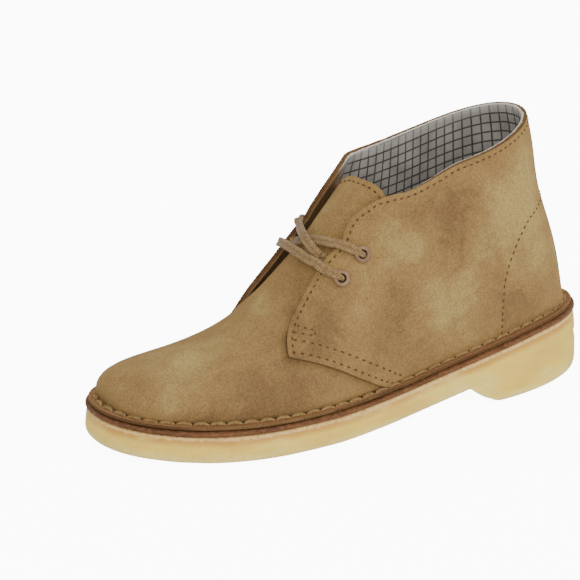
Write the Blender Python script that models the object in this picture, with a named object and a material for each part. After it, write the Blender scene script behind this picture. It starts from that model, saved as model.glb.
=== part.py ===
"""Left chukka boot: crepe sole with a heel lift, stitched-down suede upper, tongue and flat lace.

The toe points to -Y, the outer side of the foot is +X and the floor is Z = 0.
The upper and the tongue come from one last: sections that fan from the toe round the heel to the collar.
"""

from math import asin, atan2, cos, pi, sin

import bmesh
import bpy
from mathutils import Vector

# Sole
SOLE_LENGTH = 0.256
BALL_WIDTH = 0.0862
FORE_HEIGHT = 0.0136
HEEL_RISE = 0.0163
TOE_SPRING = 0.0043
SOLE_FLARE = 0.0009
SOLE_EDGE_ROUND = 0.0034
STRIP_HEIGHT = 0.0017
STRIP_STEP = 0.0005
BREAST_TOP = 0.050
BREAST_FOOT = 0.064
BREAST_HOLLOW = 0.004
MIDSOLE_THICKNESS = 0.0026
MIDSOLE_PROUD = 0.0005
INSOLE_THICKNESS = 0.0025
INSOLE_CLEARANCE = 0.0020
GAP = 0.0003

# Upper
SHAFT_HEIGHT = 0.1022
COLLAR_SAG = 0.003
VAMP_WALL = 0.0017
QUARTER_STEP = 0.0014
FACING_WALL = 0.0029
FLANGE_WIDTH = 0.0058
FLANGE_SETBACK = 0.0009
TONGUE_OVERLAP = 0.0072
FACING_BLEND = 0.0160
FACING_CLEARANCE = 0.0008
OUTER_GAPE = 0.0008
INNER_GAPE = 0.0022
GAPE_REACH = 0.0140

# Lacing
EYELET_SETBACK = 0.0105
EYELET_BORE = 0.0040
EYELET_BARREL = 0.0048
EYELET_RIM = 0.0082
EYELET_RIM_HEIGHT = 0.0009
EYELET_SEAT = 0.0011
LACE_WIDTH = 0.0042
LACE_THICKNESS = 0.0018

TOE_CAP, TOE_ROUND = 0.76, 2.28
HEEL_CAP, HEEL_ROUND = 0.279, 1.95

# Sole outline: station from the heel as a share of the length, then the outer and inner half widths
# as shares of the ball width. The two ends are rounded off by the cap values above.
SOLE_OUTLINE = (
    # station, outer, inner
    (0.00, 0.420, 0.420),
    (0.12, 0.421, 0.416),
    (0.25, 0.416, 0.397),
    (0.38, 0.412, 0.359),
    (0.50, 0.435, 0.362),
    (0.62, 0.489, 0.446),
    (0.70, 0.492, 0.506),
    (0.78, 0.469, 0.531),
    (0.88, 0.413, 0.537),
    (1.00, 0.336, 0.544),
)

# Sections of the last, from the toe to the collar.
# travel: how far the foot of the section has gone round the outline, 0 toe tip, 3 heel tip, 4 collar.
# forward, rise: the ridge point, ahead of the middle of the sole as a share of its length, and above
# the forefoot's feather line as a share of the shaft height.
# width: half width as a share of the ball width. widest: how far down the section the widest place is.
# front, rear: roundness of the section towards the ridge and towards the foot of the section.
LAST_SECTIONS = (
    # travel, forward, rise, width, widest, front, rear
    (0.00, 0.4790, 0.040, 0.440, 0.62, 1.9, 2.0),
    (0.25, 0.4720, 0.135, 0.442, 0.66, 1.9, 2.0),
    (0.50, 0.4480, 0.192, 0.446, 0.72, 1.9, 2.0),
    (0.75, 0.4020, 0.222, 0.450, 0.78, 1.9, 2.0),
    (1.00, 0.3300, 0.250, 0.456, 0.84, 1.9, 2.1),
    (1.15, 0.2500, 0.300, 0.456, 0.86, 1.9, 2.2),
    (1.30, 0.1900, 0.375, 0.434, 0.86, 2.0, 2.2),
    (1.50, 0.1400, 0.466, 0.392, 0.82, 2.2, 2.2),
    (1.75, 0.1030, 0.555, 0.368, 0.76, 2.4, 2.2),
    (2.00, 0.0790, 0.624, 0.358, 0.72, 2.5, 2.2),
    (2.50, 0.0590, 0.686, 0.350, 0.68, 2.6, 2.2),
    (3.00, 0.0420, 0.738, 0.342, 0.64, 2.6, 2.1),
    (3.25, 0.0220, 0.796, 0.334, 0.61, 2.5, 2.1),
    (3.50, 0.0030, 0.851, 0.324, 0.59, 2.4, 2.1),
    (3.75, -0.0180, 0.912, 0.312, 0.58, 2.3, 2.1),
    (4.00, -0.0430, 0.985, 0.302, 0.56, 2.2, 2.1),
)

# Back curve: height above the heel's feather line as a share of the shaft, and how far the curve
# stands behind (+) or ahead (-) of the feather line, as a share of the sole length.
BACK_CURVE = (
    # rise, back
    (0.00, 0.0000),
    (0.10, -0.0110),
    (0.27, -0.0220),
    (0.42, -0.0390),
    (0.56, -0.0620),
    (0.70, -0.0760),
    (0.85, -0.0840),
    (1.00, -0.0990),
)
RIDGE_SHIFT = -0.03

# Front edge of each quarter: how far round the section it lies, against the row of the last.
FRONT_EDGE = (
    # row, outer, inner
    (5.9, 0.500, 0.500),
    (6.2, 0.370, 0.370),
    (6.6, 0.295, 0.295),
    (7.1, 0.240, 0.240),
    (7.8, 0.187, 0.187),
    (8.5, 0.155, 0.155),
    (9.0, 0.137, 0.137),
    (10.0, 0.110, 0.110),
    (11.0, 0.094, 0.096),
    (12.0, 0.089, 0.092),
    (13.0, 0.094, 0.096),
    (14.0, 0.113, 0.112),
    (15.0, 0.143, 0.135),
)

# Seam of the quarters over the vamp: row of the last against how far round the section it lies.
VAMP_SEAM = (
    # around, row
    (0.50, 5.90),
    (0.54, 6.10),
    (0.60, 6.40),
    (0.66, 6.66),
    (0.73, 6.89),
    (0.81, 7.09),
    (0.89, 7.28),
    (1.00, 7.50),
)

# Top line of the quarters: row of the last where the leather ends.
COLLAR_LINE = (
    # around, outer, inner
    (0.140, 13.42, 14.80),
    (0.180, 13.93, 14.86),
    (0.220, 14.09, 14.90),
    (0.260, 14.23, 14.94),
    (0.325, 14.54, 14.98),
    (0.365, 14.86, 15.00),
    (0.430, 15.00, 15.00),
)

VAMP_ROWS = (0.0, 0.22, 0.55, 0.95, 1.4, 1.9, 2.4, 2.95, 3.5, 4.0, 4.5, 5.0, 5.45, 5.9)
QUARTER_ROWS = (
    6.15, 6.45, 6.8, 7.2, 7.6, 8.0, 8.42, 8.86, 9.30, 9.66, 10.0, 10.34, 10.67, 11.0,
    11.5, 12.0, 12.5, 13.0, 13.5, 14.0, 14.5, 15.0,
)
EYELET_ROWS = (8.86, 10.34)
EYELET_ROW_STEPS = (1, 2)
SEAM_ROW = 5.9
HEEL_ROW = 11.0
COLLAR_SLOPE_START = 9.0


def smooth(rows, column, at):
    """Value of one column of a table between its rows, without overshoot."""
    xs = [row[0] for row in rows]
    ys = [row[column] for row in rows]
    if at <= xs[0]:
        return ys[0]
    if at >= xs[-1]:
        return ys[-1]
    slopes = [(ys[i + 1] - ys[i]) / (xs[i + 1] - xs[i]) for i in range(len(xs) - 1)]

    def tangent(i):
        if i == 0:
            return slopes[0]
        if i == len(xs) - 1:
            return slopes[-1]
        before, after = slopes[i - 1], slopes[i]
        return 0.0 if before * after <= 0 else 2 * before * after / (before + after)

    i = max(j for j in range(len(xs) - 1) if xs[j] <= at)
    step = xs[i + 1] - xs[i]
    t = (at - xs[i]) / step
    return (
        (2 * t**3 - 3 * t**2 + 1) * ys[i]
        + (t**3 - 2 * t**2 + t) * step * tangent(i)
        + (3 * t**2 - 2 * t**3) * ys[i + 1]
        + (t**3 - t**2) * step * tangent(i + 1)
    )


def ramp(t):
    """0 to 1 with soft ends."""
    t = min(1.0, max(0.0, t))
    return t * t * (3 - 2 * t)


def lerp(a, b, t):
    return a + (b - a) * t


HEEL_RAMP = (0.10, 0.56)
SPRING_START = 0.68


def toe_lift(station):
    return TOE_SPRING * max(0.0, (station - SPRING_START) / (1 - SPRING_START)) ** 2


def crepe_top(station):
    """Height of the top of the crepe sole at a station from the heel."""
    t = ramp((station - HEEL_RAMP[0]) / (HEEL_RAMP[1] - HEEL_RAMP[0]))
    return FORE_HEIGHT + HEEL_RISE * (1 - t) + toe_lift(station)


def midsole_bottom(station):
    return crepe_top(station) + GAP


def feather(station):
    """Height of the underside of the upper's flange."""
    return midsole_bottom(station) + MIDSOLE_THICKNESS + GAP


def station_at(y):
    return 0.5 - y / SOLE_LENGTH


def outline_point(travel, side):
    """Plan point of the sole outline and its station. side is +1 outer, -1 inner."""
    if travel < 1:
        angle = pi / 2 * (1 - travel)
        near = max(0.0, cos(angle)) ** (2 / TOE_ROUND)
        station = TOE_CAP + (1 - TOE_CAP) * max(0.0, sin(angle)) ** (2 / TOE_ROUND)
    elif travel <= 2:
        near = 1.0
        station = lerp(TOE_CAP, HEEL_CAP, travel - 1)
    else:
        angle = pi / 2 * (min(travel, 3.0) - 2)
        near = max(0.0, cos(angle)) ** (2 / HEEL_ROUND)
        station = HEEL_CAP * (1 - max(0.0, sin(angle)) ** (2 / HEEL_ROUND))
    outer = BALL_WIDTH * smooth(SOLE_OUTLINE, 1, station)
    inner = BALL_WIDTH * smooth(SOLE_OUTLINE, 2, station)
    x = (outer - inner) / 2 + side * near * (outer + inner) / 2
    return x, SOLE_LENGTH * (0.5 - station), station


def edge_point(travel, side, inset):
    """Outline point moved inwards by inset, square to the outline."""
    x, y, station = outline_point(travel, side)
    if travel < 0.002:
        return x, y + inset, station
    if travel > 2.998:
        return x, y - inset, station
    reach = 0.004
    ax, ay, _ = outline_point(max(0.0, travel - reach), side)
    bx, by, _ = outline_point(min(3.0, travel + reach), side)
    run = ((bx - ax) ** 2 + (by - ay) ** 2) ** 0.5
    return x - side * (by - ay) / run * inset, y + side * (bx - ax) / run * inset, station


def foot_of_section(travel, side, inset=FLANGE_WIDTH):
    """Where a section of the last ends: on the feather line, or on the back curve past the heel."""
    if travel <= 3:
        x, y, station = edge_point(travel, side, inset)
        other_x = edge_point(travel, -side, inset)[0]
        return Vector(((x + other_x) / 2, y, feather(station))), abs(x - other_x) / 2
    x, y, station = edge_point(3.0, side, inset)
    rise = travel - 3
    back = smooth(BACK_CURVE, 1, rise) * SOLE_LENGTH
    return Vector((x * (1 - rise), y + back, feather(0) + rise * SHAFT_HEIGHT)), 0.0


def section(row):
    """Columns of LAST_SECTIONS at a row number that may lie between two rows."""
    numbered = [(i,) + values for i, values in enumerate(LAST_SECTIONS)]
    return [smooth(numbered, column, row) for column in range(1, 8)]


LAST_ROW = len(LAST_SECTIONS) - 1


def section_curve(row, side):
    """Points of half a section from the ridge to its foot."""
    travel, forward, rise, width, widest, front, rear = section(row)
    foot, half_foot = foot_of_section(travel, side)
    ridge = Vector((
        RIDGE_SHIFT * BALL_WIDTH,
        -forward * SOLE_LENGTH,
        feather(0.6) + rise * SHAFT_HEIGHT,
    ))
    if row < 1:
        ridge = foot_of_section(0.0, 1)[0].lerp(ridge, row)
    half = width * BALL_WIDTH
    if travel < 1:
        half *= cos(pi / 2 * (1 - travel)) ** (2 / TOE_ROUND)
    half = max(half, half_foot * 1.005, 1e-6)
    last_angle = pi - asin(min(1.0, (half_foot / half) ** (rear / 2)))
    end = abs(cos(last_angle)) ** (2 / rear)
    points = []
    for i in range(SECTION_STEPS + 1):
        angle = last_angle * i / SECTION_STEPS
        if angle <= pi / 2:
            share = widest * (1 - cos(angle) ** (2 / front))
            out = half * sin(angle) ** (2 / front)
        else:
            share = widest + (1 - widest) * abs(cos(angle)) ** (2 / rear) / end
            out = half * max(0.0, sin(angle)) ** (2 / rear)
        middle = lerp(ridge.x, foot.x, min(1.0, share / widest))
        height = lerp(ridge.z, foot.z, share) - COLLAR_SAG * max(0.0, travel - 3) * sin(pi * share)
        points.append(Vector((middle + side * out, lerp(ridge.y, foot.y, share), height)))
    return points


SECTION_STEPS = 48
known_sections = {}


def skin(row, around, side):
    """Point of the last's skin. around is the share of the section's length from the ridge to its foot."""
    key = (round(row, 5), side)
    if key not in known_sections:
        points = section_curve(row, side)
        lengths = [0.0]
        for a, b in zip(points, points[1:]):
            lengths.append(lengths[-1] + (b - a).length)
        known_sections[key] = points, lengths
    points, lengths = known_sections[key]
    goal = min(1.0, max(0.0, around)) * lengths[-1]
    i = 0
    while i < SECTION_STEPS - 1 and lengths[i + 1] < goal:
        i += 1
    span = lengths[i + 1] - lengths[i]
    return points[i].lerp(points[i + 1], (goal - lengths[i]) / span if span > 0 else 0.0)


def arc_length(row, side):
    skin(row, 1.0, side)
    return known_sections[(round(row, 5), side)][1][-1]


def skin_normal(row, around, side):
    """Outward direction of the skin."""
    row_step, around_step = 0.04, 0.01
    low, high = max(0.15, row - row_step), min(LAST_ROW, row + row_step)
    near, far = max(0.0, around - around_step), min(1.0, around + around_step)
    along = skin(high, around, side) - skin(low, around, side)
    across = skin(row, far, side) - skin(row, near, side)
    normal = across.cross(along) * side
    if around < 1e-6:
        normal.x = 0.0
    return normal.normalized()


def seam_row(around):
    return smooth(VAMP_SEAM, 1, around)


def pattern_row(row, around, side):
    """Row of the last at a mesh row: mesh rows bend to follow the vamp seam and the collar line."""
    bent = row
    if row <= SEAM_ROW:
        bend = (row / SEAM_ROW) ** 3
    else:
        bend = max(0.0, (HEEL_ROW - row) / (HEEL_ROW - SEAM_ROW)) ** 2
    bent += (seam_row(around) - SEAM_ROW) * bend
    short = LAST_ROW - smooth(COLLAR_LINE, 1 if side > 0 else 2, around)
    slope = max(0.0, (row - COLLAR_SLOPE_START) / (LAST_ROW - COLLAR_SLOPE_START)) ** 2
    return bent - short * slope


def front_edge(row, side):
    return smooth(FRONT_EDGE, 1 if side > 0 else 2, row)


def edge_distance_around(row, side, distance):
    """How far round a section a place lies that is this far behind the quarter's front edge."""
    start = front_edge(row, side)
    length = arc_length(pattern_row(row, start, side), side)
    return start + distance / length * min(1.0, length / 0.062)


def facing_cover(row, distance):
    """1 where the quarter lies over the tongue, falling to 0 further back and at the seam's corner."""
    open_up = ramp((row - SEAM_ROW) / 0.8)
    return open_up * (1 - ramp((distance - TONGUE_OVERLAP - 0.0025) / FACING_BLEND))


def quarter_offsets(row, distance, side):
    """Offsets of the quarter's outer and inner faces from the skin."""
    cover = facing_cover(row, distance)
    gape = OUTER_GAPE if side > 0 else INNER_GAPE
    gape *= ramp((row - SEAM_ROW) / 1.6) * (1 - ramp(distance / GAPE_REACH))
    inner = lerp(-VAMP_WALL, FACING_CLEARANCE, cover) + gape
    return inner + lerp(VAMP_WALL + QUARTER_STEP, FACING_WALL, cover), inner


THROAT_COLUMNS = 7
FACING_COLUMNS = (0.0, 0.0028, 0.0062, EYELET_SETBACK, 0.0148)
BACK_COLUMNS = 9
EYELET_COLUMN = THROAT_COLUMNS + FACING_COLUMNS.index(EYELET_SETBACK)
LAST_COLUMN = THROAT_COLUMNS + len(FACING_COLUMNS) - 1 + BACK_COLUMNS


def column_place(row, column, side):
    """How far round the section a mesh column lies, and how far behind the front edge."""
    start = front_edge(row, side)
    if column <= THROAT_COLUMNS:
        return start * column / THROAT_COLUMNS, 0.0
    step = column - THROAT_COLUMNS
    if step < len(FACING_COLUMNS):
        return edge_distance_around(row, side, FACING_COLUMNS[step]), FACING_COLUMNS[step]
    facing_end = edge_distance_around(row, side, FACING_COLUMNS[-1])
    share = (step - len(FACING_COLUMNS) + 1) / BACK_COLUMNS
    around = lerp(facing_end, 1.0, share)
    length = arc_length(pattern_row(row, around, side), side)
    return around, (around - start) * length


def on_shell(row, around, side, offset):
    """Point at an offset from the skin, with its feet on the feather line."""
    place = pattern_row(row, around, side)
    travel = section(place)[0]
    if around > 0.9999 and travel <= 3.0001:
        x, y, station = edge_point(min(3.0, travel), side, FLANGE_WIDTH - offset)
        lift = VAMP_WALL if offset >= 0 else 0.0
        return Vector((x, y, feather(station) + lift))
    if place < 0.15:
        x, y, station = edge_point(0.0, 1, FLANGE_WIDTH - offset)
        return Vector((x, y, feather(station) + (VAMP_WALL if offset >= 0 else 0.0)))
    return skin(place, around, side) + skin_normal(place, around, side) * offset


def material(name, colour, roughness, metallic=0.0):
    made = bpy.data.materials.new(name)
    made.use_nodes = True
    shader = made.node_tree.nodes["Principled BSDF"]
    shader.inputs["Base Color"].default_value = (*colour, 1.0)
    shader.inputs["Roughness"].default_value = roughness
    shader.inputs["Metallic"].default_value = metallic
    return made


def add_object(name, mesh_data, finish):
    """Object centred on the sole's width, since the outline swings to the inside of the foot."""
    widest = [max(side * edge_point(at, side, -SOLE_FLARE)[0] for at in SOLE_TRAVELS) for side in (1, -1)]
    bmesh.ops.translate(mesh_data, verts=mesh_data.verts, vec=Vector(((widest[1] - widest[0]) / 2, 0.0, 0.0)))
    mesh = bpy.data.meshes.new(name)
    mesh_data.to_mesh(mesh)
    mesh_data.free()
    mesh.shade_smooth()
    mesh.set_sharp_from_angle(angle=0.7)
    obj = bpy.data.objects.new(name, mesh)
    bpy.context.scene.collection.objects.link(obj)
    obj.data.materials.append(finish)
    return obj


class Shell:
    """Mesh whose points are named by key, so that faces can share them."""

    def __init__(self):
        self.mesh = bmesh.new()
        self.points = {}

    def point(self, key, place=None):
        if key not in self.points:
            self.points[key] = self.mesh.verts.new(place() if callable(place) else place)
        return self.points[key]

    def face(self, *verts):
        corners = []
        for vert in verts:
            if vert not in corners:
                corners.append(vert)
        if len(corners) > 2:
            self.mesh.faces.new(corners)

    def finish(self):
        bmesh.ops.recalc_face_normals(self.mesh, faces=self.mesh.faces)
        return self.mesh


def make_upper(finish):
    """Vamp and quarters in one hollow wall, with a flange that is stitched down on the midsole."""
    shell = Shell()
    rows = VAMP_ROWS + QUARTER_ROWS
    seam = len(VAMP_ROWS) - 1
    heel = rows.index(HEEL_ROW)
    last = len(rows) - 1
    holes = [(rows.index(row), steps) for row, steps in zip(EYELET_ROWS, EYELET_ROW_STEPS)]
    inside_holes = {i + step for i, steps in holes for step in range(1 - steps, steps)}

    def shell_point(layer, i, column):
        side = 1 if column >= 0 else -1
        if i == 0:
            column = 0
        if i >= heel and abs(column) == LAST_COLUMN:
            column, side = LAST_COLUMN, 1

        def place():
            around, distance = column_place(rows[i], abs(column), side)
            if layer == "vamp":
                offset = 0.0
            elif rows[i] <= SEAM_ROW:
                offset = QUARTER_STEP if layer == "quarter" else -VAMP_WALL
            else:
                offset = quarter_offsets(rows[i], distance, side)[0 if layer == "quarter" else 1]
            return on_shell(rows[i], around, side, offset)

        return shell.point((layer, i, column), place)

    def flange_point(layer, i, side):
        place = pattern_row(rows[i], 1.0, side)
        x, y, station = edge_point(min(3.0, section(place)[0]), side, FLANGE_SETBACK)
        if i in (0, heel):
            side = 1
        height = feather(station) + (VAMP_WALL if layer == "top" else 0.0)
        return shell.point((layer, i, side), Vector((x, y, height)))

    def patch(layer, i, column):
        corners = [(i, column), (i, column + 1), (i + 1, column + 1), (i + 1, column)]
        if any(a in inside_holes and abs(b) == EYELET_COLUMN for a, b in corners):
            return
        shell.face(*[shell_point(layer, a, b) for a, b in corners])

    for i in range(seam):
        for column in range(-LAST_COLUMN, LAST_COLUMN):
            patch("vamp", i, column)
            patch("lining", i, column)
    quarter_columns = [c for c in range(-LAST_COLUMN, LAST_COLUMN) if c >= THROAT_COLUMNS or c < -THROAT_COLUMNS]
    for i in range(seam, last):
        for column in quarter_columns:
            patch("quarter", i, column)
            patch("lining", i, column)
    for column in range(-LAST_COLUMN, LAST_COLUMN):
        upper_layer = "quarter" if column in quarter_columns else "lining"
        shell.face(
            shell_point("vamp", seam, column),
            shell_point("vamp", seam, column + 1),
            shell_point(upper_layer, seam, column + 1),
            shell_point(upper_layer, seam, column),
        )
    for column in quarter_columns:
        shell.face(
            shell_point("quarter", last, column),
            shell_point("quarter", last, column + 1),
            shell_point("lining", last, column + 1),
            shell_point("lining", last, column),
        )
    for side in (1, -1):
        edge = side * THROAT_COLUMNS
        for i in range(seam, last):
            corners = [
                shell_point("quarter", i, edge),
                shell_point("quarter", i + 1, edge),
                shell_point("lining", i + 1, edge),
                shell_point("lining", i, edge),
            ]
            if i == seam:
                corners.append(shell_point("vamp", i, edge))
            shell.face(*corners)
        foot = side * LAST_COLUMN
        for i in range(heel):
            layer = "vamp" if i < seam else "quarter"
            near, far = shell_point(layer, i, foot), shell_point(layer, i + 1, foot)
            shell.face(near, far, flange_point("top", i + 1, side), flange_point("top", i, side))
            shell.face(
                flange_point("top", i, side),
                flange_point("top", i + 1, side),
                flange_point("under", i + 1, side),
                flange_point("under", i, side),
            )
            shell.face(
                flange_point("under", i, side),
                flange_point("under", i + 1, side),
                shell_point("lining", i + 1, foot),
                shell_point("lining", i, foot),
            )
        shell.face(
            shell_point("vamp", seam, foot), shell_point("quarter", seam, foot), flange_point("top", seam, side)
        )
    relax_counter(shell, rows)
    for i, steps in holes:
        for side in (1, -1):
            cut_eyelet_hole(shell, shell_point, rows[i], i, side, steps)
    return add_object("upper", shell.finish(), finish)


COUNTER_ROWS = (7.9, 13.6)
COUNTER_COLUMN = THROAT_COLUMNS + len(FACING_COLUMNS)
RELAX_STEPS = 40
RELAX_IN, RELAX_OUT = 0.50, -0.53


def relax_counter(shell, rows):
    """Evens out the counter over the heel, where the sections fan out, without shrinking it."""
    heel = rows.index(HEEL_ROW)
    loose = []
    for (layer, i, column), vert in shell.points.items():
        on_foot = i <= heel and abs(column) == LAST_COLUMN
        in_rows = COUNTER_ROWS[0] < rows[i] < COUNTER_ROWS[1]
        if layer in ("quarter", "lining") and in_rows and abs(column) > COUNTER_COLUMN and not on_foot:
            loose.append(vert)
    for step in range(RELAX_STEPS):
        share = RELAX_IN if step % 2 == 0 else RELAX_OUT
        moves = []
        for vert in loose:
            around = [edge.other_vert(vert).co for edge in vert.link_edges]
            moves.append((sum(around, Vector((0.0, 0.0, 0.0))) / len(around) - vert.co) * share)
        for vert, move in zip(loose, moves):
            vert.co += move


def quarter_face(row, distance, side):
    """Point on the outer face of the quarter, this far behind its front edge."""
    around = edge_distance_around(row, side, distance)
    return on_shell(row, around, side, quarter_offsets(row, distance, side)[0])


def eyelet_frame(row, side):
    """Centre of an eyelet on the quarter's outer face, the direction it faces, and the wall there."""
    reach, row_reach = 0.003, 0.3
    outer, inner = quarter_offsets(row, EYELET_SETBACK, side)
    along = quarter_face(row + row_reach, EYELET_SETBACK, side) - quarter_face(row - row_reach, EYELET_SETBACK, side)
    across = quarter_face(row, EYELET_SETBACK + reach, side) - quarter_face(row, EYELET_SETBACK - reach, side)
    normal = (across.cross(along) * side).normalized()
    return quarter_face(row, EYELET_SETBACK, side), normal, outer - inner


def cut_eyelet_hole(shell, shell_point, row, i, side, steps):
    """Round hole through the wall in the block of faces about one mesh point."""
    block = [(-steps, -1), (-steps, 0), (-steps, 1)] + [(step, 1) for step in range(1 - steps, steps)]
    block += [(-a, -b) for a, b in block]
    count = len(block)
    centre, normal, wall = eyelet_frame(row, side)
    radius = (EYELET_BARREL / 2 + 1.2 * GAP) / cos(pi / count)
    level = normal.cross(Vector((0, 0, 1))).normalized()
    down = normal.cross(level)
    rims = {}
    for layer, middle in (("quarter", centre), ("lining", centre - normal * wall)):
        ring = [shell_point(layer, i + a, side * EYELET_COLUMN + b) for a, b in block]
        turns = [atan2((vert.co - middle).dot(down), (vert.co - middle).dot(level)) for vert in ring]
        step = 2 * pi / count * (1 if (turns[1] - turns[0]) % (2 * pi) < pi else -1)
        skew = [(turn - turns[0] - step * n + pi) % (2 * pi) - pi for n, turn in enumerate(turns)]
        start = turns[0] + sum(skew) / count
        rims[layer] = []
        for n in range(count):
            turn = start + step * n
            rims[layer].append(shell.mesh.verts.new(middle + (level * cos(turn) + down * sin(turn)) * radius))
        for n in range(count):
            m = (n + 1) % count
            shell.face(ring[n], ring[m], rims[layer][m], rims[layer][n])
    for n in range(count):
        m = (n + 1) % count
        shell.face(rims["quarter"][n], rims["quarter"][m], rims["lining"][m], rims["lining"][n])


TONGUE_TOP = 14.55
TONGUE_CORNER = 1.1
TONGUE_SLANT = 0.85
TONGUE_COLUMNS = 7
TONGUE_ROWS = (5.93, 6.15, 6.45, 6.8, 7.2, 7.6, 8.1, 8.7, 9.3, 9.9, 10.5, 11.1, 11.7, 12.3, 12.9, 13.5, 14.0, 14.5, 15.0)


def tongue_half(row, side):
    """How far round the section the tongue reaches: short of the front edge low down, under it above."""
    slide = ramp((row - SEAM_ROW - 0.75) / 0.5)
    reach = lerp(-2 * GAP, TONGUE_OVERLAP, slide)
    start = front_edge(row, side)
    length = arc_length(pattern_row(row, start, side), side)
    return start + reach / length


def make_tongue(finish):
    """The vamp carries on up the throat as the tongue, and tucks under both facings."""
    shell = Shell()

    def tongue_point(layer, i, column):
        side = 1 if column >= 0 else -1

        def place():
            out = abs(column) / TONGUE_COLUMNS
            row = min(TONGUE_ROWS[i], 15.0)
            around = tongue_half(row, side) * out
            top = TONGUE_TOP - TONGUE_CORNER * out**4 - (TONGUE_SLANT * ramp(out / 0.7) if side < 0 else 0.0)
            last_row = TONGUE_ROWS[0] + (row - TONGUE_ROWS[0]) * (top - TONGUE_ROWS[0]) / (15.0 - TONGUE_ROWS[0])
            offset = 0.0 if layer == "face" else -VAMP_WALL
            return skin(last_row, around, side) + skin_normal(last_row, around, side) * offset

        return shell.point((layer, i, column), place)

    last = len(TONGUE_ROWS) - 1
    columns = range(-TONGUE_COLUMNS, TONGUE_COLUMNS)
    for column in columns:
        for i in range(last):
            for layer in ("face", "back"):
                shell.face(
                    tongue_point(layer, i, column),
                    tongue_point(layer, i, column + 1),
                    tongue_point(layer, i + 1, column + 1),
                    tongue_point(layer, i + 1, column),
                )
        for i in (0, last):
            shell.face(
                tongue_point("face", i, column),
                tongue_point("face", i, column + 1),
                tongue_point("back", i, column + 1),
                tongue_point("back", i, column),
            )
    for column in (-TONGUE_COLUMNS, TONGUE_COLUMNS):
        for i in range(last):
            shell.face(
                tongue_point("face", i, column),
                tongue_point("face", i + 1, column),
                tongue_point("back", i + 1, column),
                tongue_point("back", i, column),
            )
    return add_object("tongue", shell.finish(), finish)


CAP_STEPS = 10
MIDDLE_STEPS = 12
SOLE_TRAVELS = (
    [i / CAP_STEPS for i in range(CAP_STEPS)]
    + [1 + i / MIDDLE_STEPS for i in range(MIDDLE_STEPS)]
    + [2 + i / CAP_STEPS for i in range(CAP_STEPS + 1)]
)


def make_plate(name, rings, finish):
    """Closed plate on the sole's outline. rings: (inset, height function of the station), top to bottom."""
    shell = Shell()
    last = len(SOLE_TRAVELS) - 1

    def ring_point(ring, i, side):
        if i in (0, last):
            side = 1
        inset, height = rings[ring]
        x, y, _ = edge_point(SOLE_TRAVELS[i], side, inset)
        return shell.point((ring, i, side), Vector((x, y, height(station_at(y)))))

    for i in range(last):
        for ring in (0, len(rings) - 1):
            shell.face(
                ring_point(ring, i, 1), ring_point(ring, i + 1, 1), ring_point(ring, i + 1, -1), ring_point(ring, i, -1)
            )
        for side in (1, -1):
            for ring in range(len(rings) - 1):
                shell.face(
                    ring_point(ring, i, side),
                    ring_point(ring, i + 1, side),
                    ring_point(ring + 1, i + 1, side),
                    ring_point(ring + 1, i, side),
                )
    return add_object(name, shell.finish(), finish)


def slab_bottom(station):
    return crepe_top(station) - FORE_HEIGHT


def make_outsole(finish):
    """Crepe slab of one thickness that rises over the arch, with a stepped strip at its top edge."""
    flare = -SOLE_FLARE
    rings = (
        (STRIP_STEP + 0.0003, crepe_top),
        (STRIP_STEP, lambda at: crepe_top(at) - 0.0003),
        (STRIP_STEP, lambda at: crepe_top(at) - STRIP_HEIGHT),
        (0.0, lambda at: crepe_top(at) - STRIP_HEIGHT - 0.0002),
        (flare * 0.6, lambda at: slab_bottom(at) + FORE_HEIGHT * 0.5),
        (flare, lambda at: slab_bottom(at) + SOLE_EDGE_ROUND),
        (flare + SOLE_EDGE_ROUND * 0.30, lambda at: slab_bottom(at) + SOLE_EDGE_ROUND * 0.30),
        (flare + SOLE_EDGE_ROUND, slab_bottom),
    )
    return make_plate("outsole", rings, finish)


def make_midsole(finish):
    height = MIDSOLE_THICKNESS
    rings = (
        (0.0003, lambda at: midsole_bottom(at) + height),
        (-MIDSOLE_PROUD * 0.7, lambda at: midsole_bottom(at) + height * 0.82),
        (-MIDSOLE_PROUD, lambda at: midsole_bottom(at) + height * 0.5),
        (-MIDSOLE_PROUD * 0.7, lambda at: midsole_bottom(at) + height * 0.18),
        (0.0003, midsole_bottom),
    )
    return make_plate("midsole", rings, finish)


def make_insole(finish):
    inset = FLANGE_WIDTH + VAMP_WALL + INSOLE_CLEARANCE
    rings = (
        (inset + 0.0006, lambda at: feather(at) + INSOLE_THICKNESS),
        (inset, lambda at: feather(at) + INSOLE_THICKNESS * 0.6),
        (inset, feather),
    )
    return make_plate("insole", rings, finish)


def travel_at(y, side, inset):
    """How far round the outline the back half reaches this y."""
    low, high = 1.0, 3.0
    for _ in range(30):
        middle = (low + high) / 2
        if edge_point(middle, side, inset)[1] < y:
            low = middle
        else:
            high = middle
    return low


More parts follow.
